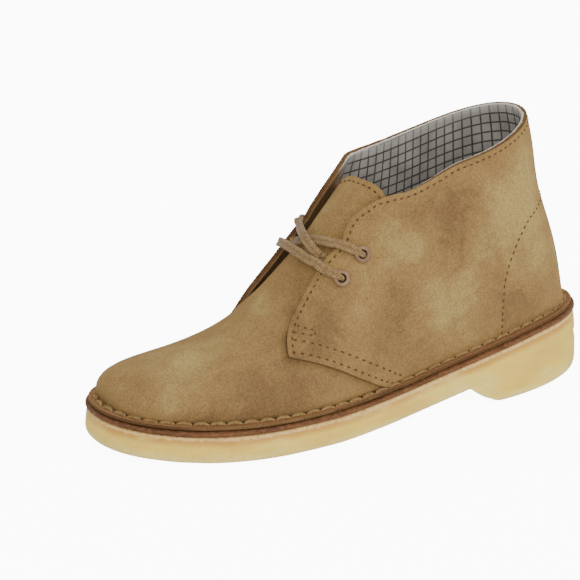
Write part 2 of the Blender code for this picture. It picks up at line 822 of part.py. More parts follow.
def make_heel_lift(finish):
    """Wedge of crepe under the heel, with a slanted, hollowed front and a rounded lower edge."""
    shell = Shell()
    side_steps, breast_steps = 12, 6
    flare = -SOLE_FLARE
    rings = (
        # inset, height as a share of the lift or of the edge round, front edge from the foot of the breast to its top
        (flare, 1.0, 1.0),
        (flare * 1.1, 0.5, 0.55),
        (flare * 1.2, -1.0, 0.16),
        (flare * 1.2 + SOLE_EDGE_ROUND * 0.3, -0.3, -0.04),
        (flare * 1.2 + SOLE_EDGE_ROUND, 0.0, -0.30),
    )

    def height(level, y):
        top = slab_bottom(station_at(y)) - GAP
        return level * top if level >= 0 else -level * SOLE_EDGE_ROUND

    def ring_point(ring, i, side):
        inset, level, rise = rings[ring]
        front = lerp(BREAST_FOOT, BREAST_TOP, rise)
        start = travel_at(front, side, inset)
        if i >= 0:
            if i == side_steps:
                side = 1
            x, y, _ = edge_point(lerp(start, 3.0, i / side_steps), side, inset)
        else:
            outer = edge_point(travel_at(front, 1, inset), 1, inset)
            inner = edge_point(travel_at(front, -1, inset), -1, inset)
            share = -i / breast_steps
            x = lerp(outer[0], inner[0], share)
            y = front + BREAST_HOLLOW * 4 * share * (1 - share)
            if share >= 1.0:
                i, side = 0, -1
            else:
                side = 1
        return shell.point((ring, i, side), Vector((x, y, height(level, y))))

    def loop(ring):
        points = [ring_point(ring, i, 1) for i in range(side_steps + 1)]
        points += [ring_point(ring, i, -1) for i in range(side_steps - 1, -1, -1)]
        points += [ring_point(ring, -i, 1) for i in range(breast_steps - 1, 0, -1)]
        return points

    loops = [loop(ring) for ring in range(len(rings))]
    count = len(loops[0])
    for upper_loop, lower_loop in zip(loops, loops[1:]):
        for n in range(count):
            m = (n + 1) % count
            shell.face(upper_loop[n], upper_loop[m], lower_loop[m], lower_loop[n])
    for ring in (0, len(rings) - 1):
        for i in range(1, side_steps):
            shell.face(
                ring_point(ring, i, 1), ring_point(ring, i + 1, 1), ring_point(ring, i + 1, -1), ring_point(ring, i, -1)
            )
        front = [ring_point(ring, 1, 1), ring_point(ring, 1, -1), ring_point(ring, 0, -1)]
        front += [ring_point(ring, -i, 1) for i in range(breast_steps - 1, 0, -1)]
        front += [ring_point(ring, 0, 1)]
        shell.face(*front)
    return add_object("heel_lift", shell.finish(), finish)


def make_eyelet(name, row, side, finish):
    """Turned eyelet: a rounded rim on the quarter and a barrel through it."""
    centre, normal, wall = eyelet_frame(row, side)
    bore, barrel, rim = EYELET_BORE / 2, EYELET_BARREL / 2, EYELET_RIM / 2
    low, high = EYELET_SEAT, EYELET_SEAT + EYELET_RIM_HEIGHT
    profile = (
        (bore, -wall), (barrel, -wall), (barrel, low), (rim, low), (rim, low + EYELET_RIM_HEIGHT * 0.45),
        (rim - 0.0006, high - 0.0001), (lerp(bore, rim, 0.45), high), (bore + 0.0002, high - 0.0003),
    )
    segments = 16
    across = normal.cross(Vector((0, 0, 1))).normalized()
    along = normal.cross(across)
    shell = Shell()
    rings = []
    for n in range(segments):
        angle = 2 * pi * n / segments
        out = across * cos(angle) + along * sin(angle)
        rings.append([shell.mesh.verts.new(centre + out * r + normal * h) for r, h in profile])
    for n in range(segments):
        one, two = rings[n], rings[(n + 1) % segments]
        for m in range(len(profile)):
            k = (m + 1) % len(profile)
            shell.face(one[m], one[k], two[k], two[m])
    return add_object(name, shell.finish(), finish)


def facing_point(row, distance, side, rise):
    """Point above the facing, this far behind its front edge."""
    around = edge_distance_around(row, side, distance)
    outer = quarter_offsets(row, distance, side)[0]
    place = pattern_row(row, around, side)
    normal = skin_normal(place, around, side)
    return skin(place, around, side) + normal * (outer + rise), normal


def throat_point(row, share, side, rise):
    """Point above the tongue; share runs from the ridge to the quarter's front edge."""
    around = front_edge(row, side) * share
    place = pattern_row(row, around, side)
    normal = skin_normal(place, around, side)
    return skin(place, around, side) + normal * rise, normal


LACE_RISE = LACE_THICKNESS / 2 + 2 * GAP
RIM_RISE = LACE_RISE + EYELET_SEAT + EYELET_RIM_HEIGHT


def bar_route():
    """Lower bar: from eyelet to eyelet over both facings."""
    row = EYELET_ROWS[0]
    outer = [(EYELET_SETBACK, RIM_RISE), (0.0070, RIM_RISE), (0.0035, LACE_RISE + 0.0006), (0.0, LACE_RISE + 0.0008)]
    route = [facing_point(row, distance, 1, rise) for distance, rise in outer]
    route += [throat_point(row, 0.5, 1, 0.0062), throat_point(row, 0.0, 1, 0.0068), throat_point(row, 0.5, -1, 0.0066)]
    route += [facing_point(row, distance, -1, rise) for distance, rise in reversed(outer)]
    return route


def cross_route(side, sink):
    """Crossing strand: from an upper eyelet over its own facing, down to the lower bar at the other edge."""
    top, low = EYELET_ROWS[1], EYELET_ROWS[0] + 0.2
    own = [(EYELET_SETBACK, RIM_RISE), (0.0070, RIM_RISE), (0.0035, LACE_RISE + 0.0006), (0.0, LACE_RISE + 0.0008)]
    route = [facing_point(top, distance, side, rise) for distance, rise in own]
    route += [
        throat_point(lerp(top, low, 0.25), 0.45, side, 0.0060 - sink),
        throat_point(lerp(top, low, 0.50), 0.0, side, 0.0056 - sink),
        throat_point(lerp(top, low, 0.80), 0.40, -side, 0.0052 - sink * 0.5),
        throat_point(low, 0.62, -side, 0.0050 - sink * 0.5),
    ]
    return route


def make_band(name, route, finish):
    """Flat lace with rounded edges along a route of (place, direction it faces)."""
    half_width, half_thick = LACE_WIDTH / 2, LACE_THICKNESS / 2
    outline = [
        (half_width, 0.0), (half_width * 0.86, half_thick * 0.8), (half_width * 0.5, half_thick),
        (-half_width * 0.5, half_thick), (-half_width * 0.86, half_thick * 0.8), (-half_width, 0.0),
        (-half_width * 0.86, -half_thick * 0.8), (-half_width * 0.5, -half_thick),
        (half_width * 0.5, -half_thick), (half_width * 0.86, -half_thick * 0.8),
    ]
    steps = 3
    places = []
    for n in range(len(route) - 1):
        before, start = route[max(0, n - 1)][0], route[n][0]
        end, after = route[n + 1][0], route[min(len(route) - 1, n + 2)][0]
        for m in range(steps):
            t = m / steps
            bend = (
                start * 2 + (end - before) * t + (before * 2 - start * 5 + end * 4 - after) * t**2
                + (start * 3 - before - end * 3 + after) * t**3
            ) / 2
            places.append((bend, route[n][1].lerp(route[n + 1][1], t)))
    places.append(route[-1])
    shell = Shell()
    rings = []
    for n, (place, facing) in enumerate(places):
        ahead = places[min(n + 1, len(places) - 1)][0] - places[max(n - 1, 0)][0]
        across = ahead.cross(facing).normalized()
        up = across.cross(ahead).normalized()
        rings.append([shell.mesh.verts.new(place + across * a + up * b) for a, b in outline])
    count = len(outline)
    for one, two in zip(rings, rings[1:]):
        for n in range(count):
            m = (n + 1) % count
            shell.face(one[n], one[m], two[m], two[n])
    shell.face(*rings[0])
    shell.face(*rings[-1])
    return add_object(name, shell.finish(), finish)


def make_lace(finish):
    """Lower bar and two crossing strands, joined where they cross."""
    lace = make_band("lace", bar_route(), finish)
    for side, sink in ((1, 0.0007), (-1, 0.0)):
        strand = make_band(f"lace_strand_{side}", cross_route(side, sink), finish)
        strand.hide_render = True
        strand.display_type = "WIRE"
        join = lace.modifiers.new("join", "BOOLEAN")
        join.operation = "UNION"
        join.solver = "EXACT"
        join.object = strand
    return lace


def main():
    for obj in list(bpy.data.objects):
        bpy.data.objects.remove(obj)
    suede = material("suede", (0.38, 0.24, 0.10), 0.95)
    crepe = material("crepe", (0.68, 0.50, 0.24), 0.6)
    heel_crepe = material("heel crepe", (0.70, 0.54, 0.28), 0.6)
    leather = material("midsole leather", (0.20, 0.09, 0.04), 0.7)
    lining = material("insole cloth", (0.27, 0.25, 0.22), 0.9)
    brass = material("eyelet metal", (0.36, 0.22, 0.14), 0.45, 0.8)
    braid = material("lace braid", (0.36, 0.23, 0.11), 0.9)
    tongue_suede = material("tongue suede", (0.38, 0.24, 0.10), 0.95)
    make_outsole(crepe)
    make_heel_lift(heel_crepe)
    make_midsole(leather)
    make_insole(lining)
    make_upper(suede)
    make_tongue(tongue_suede)
    for side, word in ((1, "outer"), (-1, "inner")):
        for row, place in zip(EYELET_ROWS, ("lower", "upper")):
            make_eyelet(f"eyelet_{word}_{place}", row, side, brass)
    make_lace(braid)


main()
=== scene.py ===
from math import atan2, copysign, cos, exp, pi, radians, sin

import bmesh
import bpy
import numpy as np
from mathutils import Matrix, Vector
from mathutils.bvhtree import BVHTree
from mathutils.kdtree import KDTree


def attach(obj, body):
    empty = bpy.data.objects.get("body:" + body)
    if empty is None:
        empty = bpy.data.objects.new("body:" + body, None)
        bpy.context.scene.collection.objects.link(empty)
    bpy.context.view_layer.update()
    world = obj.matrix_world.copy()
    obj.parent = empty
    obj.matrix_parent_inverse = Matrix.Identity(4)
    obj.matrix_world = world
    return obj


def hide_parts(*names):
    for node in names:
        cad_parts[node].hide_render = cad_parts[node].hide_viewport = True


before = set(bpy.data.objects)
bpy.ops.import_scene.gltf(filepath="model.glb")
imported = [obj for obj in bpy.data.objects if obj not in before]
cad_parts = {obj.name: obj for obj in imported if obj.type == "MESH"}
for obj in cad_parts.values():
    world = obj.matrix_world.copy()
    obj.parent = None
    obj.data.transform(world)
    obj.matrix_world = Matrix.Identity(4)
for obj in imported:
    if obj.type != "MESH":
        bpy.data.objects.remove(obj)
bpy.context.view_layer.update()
bpy.ops.object.select_all(action='DESELECT')
print("frame loaded:", sorted(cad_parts))

camera = {
    "azimuth": 61.14,
    "elevation": 21.35,
    "roll": 0.21,
    "target": (0.02116, -0.0392, 0.0731),
    "distance": 1.622,
    "lens": 217.7,
    "sensor": 36.0,
    "clipStart": 0.05,
}


def placeCamera():
    data = bpy.data.cameras.new("photoCamera")
    data.lens = camera["lens"]
    data.sensor_width = camera["sensor"]
    data.sensor_height = camera["sensor"]
    data.sensor_fit = 'HORIZONTAL'
    data.clip_start = camera["clipStart"]
    obj = bpy.data.objects.new("photoCamera", data)
    bpy.context.scene.collection.objects.link(obj)
    azimuth, elevation = radians(camera["azimuth"]), radians(camera["elevation"])
    back = Vector((sin(azimuth) * cos(elevation), -cos(azimuth) * cos(elevation), sin(elevation)))
    obj.location = Vector(camera["target"]) + back * camera["distance"]
    turn = back.to_track_quat('Z', 'Y')
    obj.rotation_euler = turn.to_euler()
    obj.rotation_euler.rotate_axis('Z', radians(-camera["roll"]))
    bpy.context.scene.camera = obj
    return obj


placeCamera()
print("camera placed")

studio = {
    "floorSize": 6.0,
    "floorColour": (0.88, 0.88, 0.88, 1.0),
    "floorRoughness": 0.7,
    "floorGlow": 10.0,
    "worldColour": (1.0, 1.0, 1.0, 1.0),
    "worldStrength": 0.80,
    "lights": (
        # name, place, aim, size, watts
        ("keyLight", (1.3, -0.7, 1.1), (0.0, 0.0, 0.05), 1.0, 14.0),
        ("fillLight", (1.5, 1.2, 0.9), (0.0, 0.0, 0.05), 1.2, 14.0),
        ("topLight", (-0.4, 0.3, 1.9), (0.0, 0.0, 0.05), 1.2, 6.0),
    ),
}


def addStudio():
    bpy.ops.mesh.primitive_plane_add(size=studio["floorSize"], location=(0, 0, 0))
    floor = bpy.context.object
    floor.name = "studioFloor"
    finish = bpy.data.materials.new("paleFloor")
    finish.use_nodes = True
    shader = finish.node_tree.nodes["Principled BSDF"]
    shader.inputs["Base Color"].default_value = studio["floorColour"]
    shader.inputs["Roughness"].default_value = studio["floorRoughness"]
    # the sweep glows a little to the camera alone, as an overlit backdrop does
    tree = finish.node_tree
    kinds = ("LightPath", "Emission", "AddShader", "Math")
    ray, glow, both, brightness = (tree.nodes.new("ShaderNode" + kind) for kind in kinds)
    brightness.operation = 'MULTIPLY'
    brightness.inputs[1].default_value = studio["floorGlow"]
    tree.links.new(ray.outputs["Is Camera Ray"], brightness.inputs[0])
    tree.links.new(brightness.outputs[0], glow.inputs["Strength"])
    tree.links.new(shader.outputs[0], both.inputs[0])
    tree.links.new(glow.outputs[0], both.inputs[1])
    tree.links.new(both.outputs[0], tree.nodes["Material Output"].inputs["Surface"])
    floor.data.materials.append(finish)
    for name, place, aim, size, watts in studio["lights"]:
        data = bpy.data.lights.new(name, 'AREA')
        data.size = size
        data.energy = watts
        lamp = bpy.data.objects.new(name, data)
        bpy.context.scene.collection.objects.link(lamp)
        lamp.location = place
        lamp.rotation_euler = (Vector(place) - Vector(aim)).to_track_quat('Z', 'Y').to_euler()
    world = bpy.data.worlds.new("studioWorld")
    world.use_nodes = True
    world.node_tree.nodes["Background"].inputs["Color"].default_value = studio["worldColour"]
    world.node_tree.nodes["Background"].inputs["Strength"].default_value = studio["worldStrength"]
    bpy.context.scene.world = world
    bpy.ops.object.select_all(action='DESELECT')


addStudio()
print("studio ready")


def newGroup(name, inputs, outputs):
    group = bpy.data.node_groups.new(name, 'ShaderNodeTree')
    for label, kind, value in inputs:
        socket = group.interface.new_socket(name=label, in_out='INPUT', socket_type=kind)
        socket.default_value = value
    for label, kind in outputs:
        group.interface.new_socket(name=label, in_out='OUTPUT', socket_type=kind)
    return group, group.nodes.new("NodeGroupInput"), group.nodes.new("NodeGroupOutput")


def mathNode(tree, operation, *values):
    node = tree.nodes.new("ShaderNodeMath")
    node.operation = operation
    for i, value in enumerate(values):
        if isinstance(value, (int, float)):
            node.inputs[i].default_value = value
        else:
            tree.links.new(value, node.inputs[i])
    return node.outputs[0]


def rangeNode(tree, value, low, high, toLow=0.0, toHigh=1.0, kind='SMOOTHSTEP'):
    node = tree.nodes.new("ShaderNodeMapRange")
    node.interpolation_type = kind
    for label, number in (("From Min", low), ("From Max", high), ("To Min", toLow), ("To Max", toHigh)):
        node.inputs[label].default_value = number
    tree.links.new(value, node.inputs["Value"])
    return node.outputs["Result"]


def mixColour(tree, factor, first, second, blend='MIX'):
    node = tree.nodes.new("ShaderNodeMix")
    node.data_type = 'RGBA'
    node.blend_type = blend
    for socket, value in ((node.inputs[0], factor), (node.inputs[6], first), (node.inputs[7], second)):
        if isinstance(value, (int, float, tuple)):
            socket.default_value = value
        else:
            tree.links.new(value, socket)
    return node.outputs[2]


def noiseNode(tree, vector, scale, detail=3.0, roughness=0.5, distortion=0.0):
    node = tree.nodes.new("ShaderNodeTexNoise")
    node.inputs["Scale"].default_value = scale
    node.inputs["Detail"].default_value = detail
    node.inputs["Roughness"].default_value = roughness
    node.inputs["Distortion"].default_value = distortion
    tree.links.new(vector, node.inputs["Vector"])
    return node.outputs["Fac"]


def patternMask(tree, vector, pattern, low, high, toLow=0.0, toHigh=1.0):
    return rangeNode(tree, noiseNode(tree, vector, *pattern), low, high, toLow, toHigh)


def objectPlace(tree, stretch=(1.0, 1.0, 1.0), shift=(0.0, 0.0, 0.0)):
    place = tree.nodes.new("ShaderNodeTexCoord")
    turn = tree.nodes.new("ShaderNodeMapping")
    turn.inputs["Scale"].default_value = stretch
    turn.inputs["Location"].default_value = shift
    tree.links.new(place.outputs["Object"], turn.inputs["Vector"])
    return turn.outputs["Vector"]


def attributeNode(tree, name):
    node = tree.nodes.new("ShaderNodeAttribute")
    node.attribute_name = name
    return node.outputs["Fac"]


def groupNode(tree, group, **colours):
    node = tree.nodes.new("ShaderNodeGroup")
    node.node_tree = group
    for label, colour in colours.items():
        node.inputs[label].default_value = colour
    return node


def newFinish(name, roughness, shine=0.5):
    finish = bpy.data.materials.new(name)
    finish.use_nodes = True
    shader = finish.node_tree.nodes["Principled BSDF"]
    shader.inputs["Roughness"].default_value = roughness
    shader.inputs["Specular IOR Level"].default_value = shine
    return finish, finish.node_tree, shader


def srgb(code):
    values = [int(code[i:i + 2], 16) / 255 for i in (0, 2, 4)]
    return tuple(v / 12.92 if v <= 0.04045 else ((v + 0.055) / 1.055) ** 2.4 for v in values) + (1.0,)


suede = {
    "light": srgb("A78F58"),
    "middle": srgb("917246"),
    "deep": srgb("785D3B"),
    # cut: partly the raw edge's own darker colour, partly painted shade along the step under the quarters'
    # edges
    "cut": srgb("5E4228"),
    "flange": srgb("8A6244"),
    "flangeLight": srgb("94704E"),
    "flangeDeep": srgb("74492C"),
    "roughness": 0.92,
    "shine": 0.15,
    "sheen": 0.35,
    "sheenRoughness": 0.55,
    # scale, detail, roughness and distortion of each pattern
    "drift": (26.0, 3.0, 0.55, 0.4),
    "patches": (75.0, 4.0, 0.62, 0.8),
    "nap": (1500.0, 2.0, 0.65),
    "grit": (1000.0, 2.0, 0.75),
    "driftShare": 1.5,
    "patchShare": 1.4,
    "deepToMiddle": (-0.75, 0.10),
    "middleToLight": (-0.05, 0.85),
    # the grit's range, and the range of brightness that it gives
    "speck": (0.28, 0.74, 0.70, 1.29),
    "shadeLeast": 0.55,
    "napHeight": 0.5,
    "gritHeight": 0.8,
    "napDepth": 0.00012,
    "bump": 0.7,
}


def suedeGroup():
    group, start, end = newGroup(
        "suedeNap",
        (("Light", 'NodeSocketColor', suede["light"]), ("Middle", 'NodeSocketColor', suede["middle"]),
         ("Deep", 'NodeSocketColor', suede["deep"]), ("Tone", 'NodeSocketFloat', 0.0),
         ("Shade", 'NodeSocketFloat', 0.0)),
        (("Colour", 'NodeSocketColor'), ("Height", 'NodeSocketFloat')),
    )
    place = objectPlace(group)
    names = ("drift", "patches", "nap", "grit")
    drift, patches, nap, grit = (noiseNode(group, place, *suede[name]) for name in names)
    # the Tone mask adds placed patches, partly mottling and partly painted light and shade, to the random
    # drift and patches
    lean = start.outputs["Tone"]
    for pattern, share in ((drift, suede["driftShare"]), (patches, suede["patchShare"])):
        lean = mathNode(group, 'MULTIPLY_ADD', mathNode(group, 'SUBTRACT', pattern, 0.5), share, lean)
    middle = rangeNode(group, lean, *suede["deepToMiddle"])
    tone = mixColour(group, middle, start.outputs["Deep"], start.outputs["Middle"])
    tone = mixColour(group, rangeNode(group, lean, *suede["middleToLight"]), tone, start.outputs["Light"])
    speck = rangeNode(group, grit, *suede["speck"], 'LINEAR')
    # painted shade: the Shade mask dims the grit, and so the colour, down to shadeLeast
    shade = rangeNode(group, start.outputs["Shade"], 0.0, 1.0, 1.0, suede["shadeLeast"], 'LINEAR')
    speck = mathNode(group, 'MULTIPLY', speck, shade)
    grey = group.nodes.new("ShaderNodeCombineColor")
    for channel in range(3):
        group.links.new(speck, grey.inputs[channel])
    tone = mixColour(group, 1.0, tone, grey.outputs[0], 'MULTIPLY')
    height = mathNode(group, 'MULTIPLY', grit, suede["gritHeight"])
    height = mathNode(group, 'MULTIPLY_ADD', nap, suede["napHeight"], height)
    group.links.new(tone, end.inputs["Colour"])
    group.links.new(height, end.inputs["Height"])
    return group


suedeNap = suedeGroup()


def bumpFrom(tree, shader, height, distance, strength):
    bump = tree.nodes.new("ShaderNodeBump")
    bump.inputs["Distance"].default_value = distance
    bump.inputs["Strength"].default_value = strength
    tree.links.new(height, bump.inputs["Height"])
    tree.links.new(bump.outputs["Normal"], shader.inputs["Normal"])


def suedeFinish(name, light, middle, deep):
    finish, tree, shader = newFinish(name, suede["roughness"], suede["shine"])
    nap = groupNode(tree, suedeNap, Light=light, Middle=middle, Deep=deep)
    for label, mask in (("Tone", "suedeToneAndPaintedLight"), ("Shade", "suedePaintedShade")):
        tree.links.new(attributeNode(tree, mask), nap.inputs[label])
    tree.links.new(nap.outputs["Colour"], shader.inputs["Base Color"])
    shader.inputs["Sheen Weight"].default_value = suede["sheen"]
    shader.inputs["Sheen Roughness"].default_value = suede["sheenRoughness"]
    shader.inputs["Sheen Tint"].default_value = suede["light"]
    bumpFrom(tree, shader, nap.outputs["Height"], suede["napDepth"], suede["bump"])
    return finish


suedeOuter = suedeFinish("suedeOuter", suede["light"], suede["middle"], suede["deep"])
suedeCut = suedeFinish("suedeCutEdgeAndShade", suede["cut"], suede["cut"], suede["deep"])
suedeFlange = suedeFinish("suedeFlange", suede["flangeLight"], suede["flange"], suede["flangeDeep"])


lining = {
    "cloth": srgb("8D8881"),
    "clothLight": srgb("A29D95"),
    "line": srgb("2C2824"),
    "backing": srgb("7A6044"),
    "bandColour": srgb("B9B4AB"),
    "fuzz": srgb("C6C0B6"),
    "roughness": 0.9,
    "shine": 0.2,
    # one square of the check, the line's width and soft edge as shares of it, and how dark the line is
    "square": 0.0048,
    "lineWidth": 0.17,
    "lineSoftness": 0.03,
    "lineShare": 0.86,
    # the pale band and the frayed edge, measured down from the collar's rim
    "band": 0.0052,
    "bandFade": 0.0008,
    "bandShare": 0.28,
    "whiteEdge": 0.0039,
    "whiteFade": 0.0004,
    "whiteShare": 0.8,
    "edgeStart": 0.0028,
    "edgeFade": 0.0005,
    "facingEnd": (0.006, 0.014),
    "weave": (1800.0, 2.0, 0.6),
    "weaveDepth": 0.0001,
    "cloud": (90.0, 3.0),
    "fray": (700.0, 3.0, 0.7),
    "frayReach": 0.0022,
    "edgeFray": (600.0, 3.0, 0.7),
    "edgeFrayReach": 0.0018,
    # the cloth runs round this point, from the heel, behind clothBack, forwards to clothFront
    "clothCentre": (0.0, 0.05),
    "clothFront": -0.002,
    "clothBack": 0.08,
}


def alongShoe(tree, start, end):
    split = tree.nodes.new("ShaderNodeSeparateXYZ")
    tree.links.new(objectPlace(tree), split.inputs[0])
    return rangeNode(tree, split.outputs["Y"], start, end)


def liningFinish():
    finish, tree, shader = newFinish("checkLining", lining["roughness"], lining["shine"])
    uv = tree.nodes.new("ShaderNodeUVMap")
    uv.uv_map = "cloth"
    split = tree.nodes.new("ShaderNodeSeparateXYZ")
    tree.links.new(uv.outputs["UV"], split.inputs[0])
    lineEdge, soft = 0.5 - lining["lineWidth"] / 2, lining["lineSoftness"]
    lines = None
    for axis in range(2):
        cell = mathNode(tree, 'FRACT', mathNode(tree, 'MULTIPLY', split.outputs[axis], 1 / lining["square"]))
        away = mathNode(tree, 'ABSOLUTE', mathNode(tree, 'SUBTRACT', cell, 0.5))
        line = rangeNode(tree, away, lineEdge - soft, lineEdge + soft)
        lines = line if lines is None else mathNode(tree, 'MAXIMUM', lines, line)
    place = objectPlace(tree)
    cloud = patternMask(tree, place, lining["cloud"], 0.3, 0.7)
    cloth = mixColour(tree, cloud, lining["cloth"], lining["clothLight"])
    tone = mixColour(tree, mathNode(tree, 'MULTIPLY', lines, lining["lineShare"]), cloth, lining["line"])
    rim = attributeNode(tree, "rimDistance")
    bandEnd = lining["band"] + lining["bandFade"]
    band = rangeNode(tree, rim, lining["band"], bandEnd, lining["bandShare"], 0.0)
    tone = mixColour(tree, band, tone, lining["bandColour"])
    fray = noiseNode(tree, place, *lining["fray"])
    frayed = mathNode(tree, 'MULTIPLY_ADD', fray, lining["frayReach"], rim)
    whiteEnd = lining["whiteEdge"] + lining["whiteFade"]
    white = rangeNode(tree, frayed, lining["whiteEdge"], whiteEnd, lining["whiteShare"], 0.0)
    tone = mixColour(tree, white, tone, lining["fuzz"])
    tone = mixColour(tree, alongShoe(tree, *lining["facingEnd"]), lining["backing"], tone)
    tree.links.new(tone, shader.inputs["Base Color"])
    bumpFrom(tree, shader, noiseNode(tree, place, *lining["weave"]), lining["weaveDepth"], 0.6)
    return finish


checkLining = liningFinish()


def liningEdge(finish):
    # the collar's cut edge: suede outside, the frayed cloth of the lining inside
    tree = finish.node_tree
    shader = tree.nodes["Principled BSDF"]
    # the suede's colour with its tone, painted light and painted shade
    suedeToneAndPaintedLight = shader.inputs["Base Color"].links[0].from_socket
    fray = noiseNode(tree, objectPlace(tree), *lining["edgeFray"])
    rim = attributeNode(tree, "rimDistance")
    across = mathNode(tree, 'MULTIPLY_ADD', fray, lining["edgeFrayReach"], rim)
    cloth = rangeNode(tree, across, lining["edgeStart"], lining["edgeStart"] + lining["edgeFade"])
    backing = mixColour(tree, alongShoe(tree, *lining["facingEnd"]), lining["backing"], lining["fuzz"])
    tree.links.new(mixColour(tree, cloth, suedeToneAndPaintedLight, backing), shader.inputs["Base Color"])
    return finish


collarEdge = liningEdge(suedeFinish("collarEdge", suede["cut"], suede["cut"], suede["deep"]))
print("suede and lining finishes made")


sole = {
    "length": 0.256,
    "foreHeight": 0.0136,
    "heelRise": 0.0163,
    "toeSpring": 0.0043,
    "rampStart": 0.10,
    "rampEnd": 0.56,
    "springStart": 0.68,
    "voxel": 0.00095,
    "heelSink": 0.0012,
    "heelGap": 0.0006,
    "cream": srgb("F0CB86"),
    "creamDark": srgb("D9AC68"),
    "band": srgb("D09C46"),
    "crepe": srgb("F2CF5C"),
    "bottom": srgb("FBE98C"),
    "grain": srgb("D0A645"),
    "fray": srgb("6E5236"),
    "levels": 2,
    "sharpAngle": 40.0,
    "crease": 0.75,
    "roughness": 0.62,
    "shine": 0.3,
    # the heel lift's joint with the slab is smoothed over this height, behind this place
    "jointReach": 0.004,
    "jointStart": 0.058,
    "skinRounds": 3,
    "jointRounds": 24,
    # stations where the heel ends and where the crepe's frayed edge begins, each with its fade
    "heelEnd": (0.24, 0.10),
    "frontStart": (0.40, 0.25),
    # scale, detail, roughness and distortion of each pattern
    "slow": (55.0, 4.0, 0.6),
    "wander": 0.0024,
    "quick": (420.0, 3.0, 0.7),
    "ragged": (0.0003, 0.0030),
    "cloud": (60.0, 4.0, 0.6),
    "cloudStretch": (1.0, 0.4, 1.7),
    "glow": (45.0, 3.0, 0.6),
    "glowStretch": (1.0, 0.5, 1.5),
    "glowShift": (0.3, 0.1, 0.2),
    "creamGrain": (500.0, 3.0, 0.7),
    "fibre": (800.0, 2.0, 0.6, 1.5),
    "fibreStretch": (1.0, 1.0, 2.2),
    "crumb": (900.0, 4.0, 0.65),
    "pits": 620.0,
    "pitDepth": 0.0003,
    # depths below the top edge, and the height over the ground where the pale bottom ends
    "bandDepth": (0.0022, 0.0058),
    "stripDepth": (0.0014, 0.0019),
    "frayDepth": (0.0008, 0.0024),
    "bottomRise": (0.0010, 0.0068),
}


def softStep(t):
    t = min(1.0, max(0.0, t))
    return t * t * (3 - 2 * t)


def crepeTop(y):
    station = 0.5 - y / sole["length"]
    heel = 1 - softStep((station - sole["rampStart"]) / (sole["rampEnd"] - sole["rampStart"]))
    spring = max(0.0, (station - sole["springStart"]) / (1 - sole["springStart"])) ** 2
    return sole["foreHeight"] + sole["heelRise"] * heel + sole["toeSpring"] * spring


def only(obj, mode='OBJECT'):
    if bpy.context.object and bpy.context.object.mode != 'OBJECT':
        bpy.ops.object.mode_set(mode='OBJECT')
    bpy.ops.object.select_all(action='DESELECT')
    obj.select_set(True)
    bpy.context.view_layer.objects.active = obj
    if mode != 'OBJECT':
        bpy.ops.object.mode_set(mode=mode)


copying = {
    "mergeGap": 0.000002,
    "faceAngle": 60.0,
    "shapeAngle": 70.0,
}


def evenWalls(shape):
    # long facets low on the walls are turned, so that heel and toe run smoothly
    bmesh.ops.remove_doubles(shape, verts=shape.verts, dist=copying["mergeGap"])
    low, high = upper["evenRise"]
    edges = []
    for edge in shape.edges:
        places = [v.co for v in edge.verts]
        ends = min(p.y for p in places) > upper["evenHeel"] or max(p.y for p in places) < upper["evenFore"]
        rise = max(p.z - crepeTop(p.y) for p in places)
        if len(edge.link_faces) == 2 and ends and low < rise < high:
            edges.append(edge)
    faces = sorted({f for e in edges for f in e.link_faces}, key=lambda f: f.index)
    folded = sum(e.calc_face_angle(0.0) > radians(upper["sharpAngle"]) for e in edges)
    bmesh.ops.beautify_fill(shape, faces=faces, edges=edges, use_restrict_tag=False, method='ANGLE')
    print("wall facets", len(faces), "folded edges before turning", folded)


def nodeCopy(name, *nodes, even=False):
    shape = bmesh.new()
    for node in nodes:
        shape.from_mesh(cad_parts[node].data)
    if even:
        evenWalls(shape)
    mesh = bpy.data.meshes.new(name)
    shape.to_mesh(mesh)
    shape.free()
    obj = bpy.data.objects.new(name, mesh)
    bpy.context.scene.collection.objects.link(obj)
    only(obj, 'EDIT')
    bpy.ops.mesh.select_all(action='SELECT')
    bpy.ops.mesh.remove_doubles(threshold=copying["mergeGap"])
    angles = [radians(copying[name]) for name in ("faceAngle", "shapeAngle")]
    bpy.ops.mesh.tris_convert_to_quads(face_threshold=angles[0], shape_threshold=angles[1])
    bpy.ops.object.mode_set(mode='OBJECT')
    return obj


def applyModifiers(obj):
    only(obj)
    for modifier in list(obj.modifiers):
        bpy.ops.object.modifier_apply(modifier=modifier.name)


def smoothCopy(obj, levels, angle, crease):
    shape = bmesh.new()
    shape.from_mesh(obj.data)
    creases = shape.edges.layers.float.get("crease_edge") or shape.edges.layers.float.new("crease_edge")
    for edge in shape.edges:
        if len(edge.link_faces) == 2 and edge.calc_face_angle(0.0) > radians(angle):
            edge[creases] = crease
    shape.to_mesh(obj.data)
    shape.free()
    surface = obj.modifiers.new("surface", 'SUBSURF')
    surface.levels = levels
    surface.render_levels = levels
    applyModifiers(obj)
    bpy.ops.object.shade_smooth()


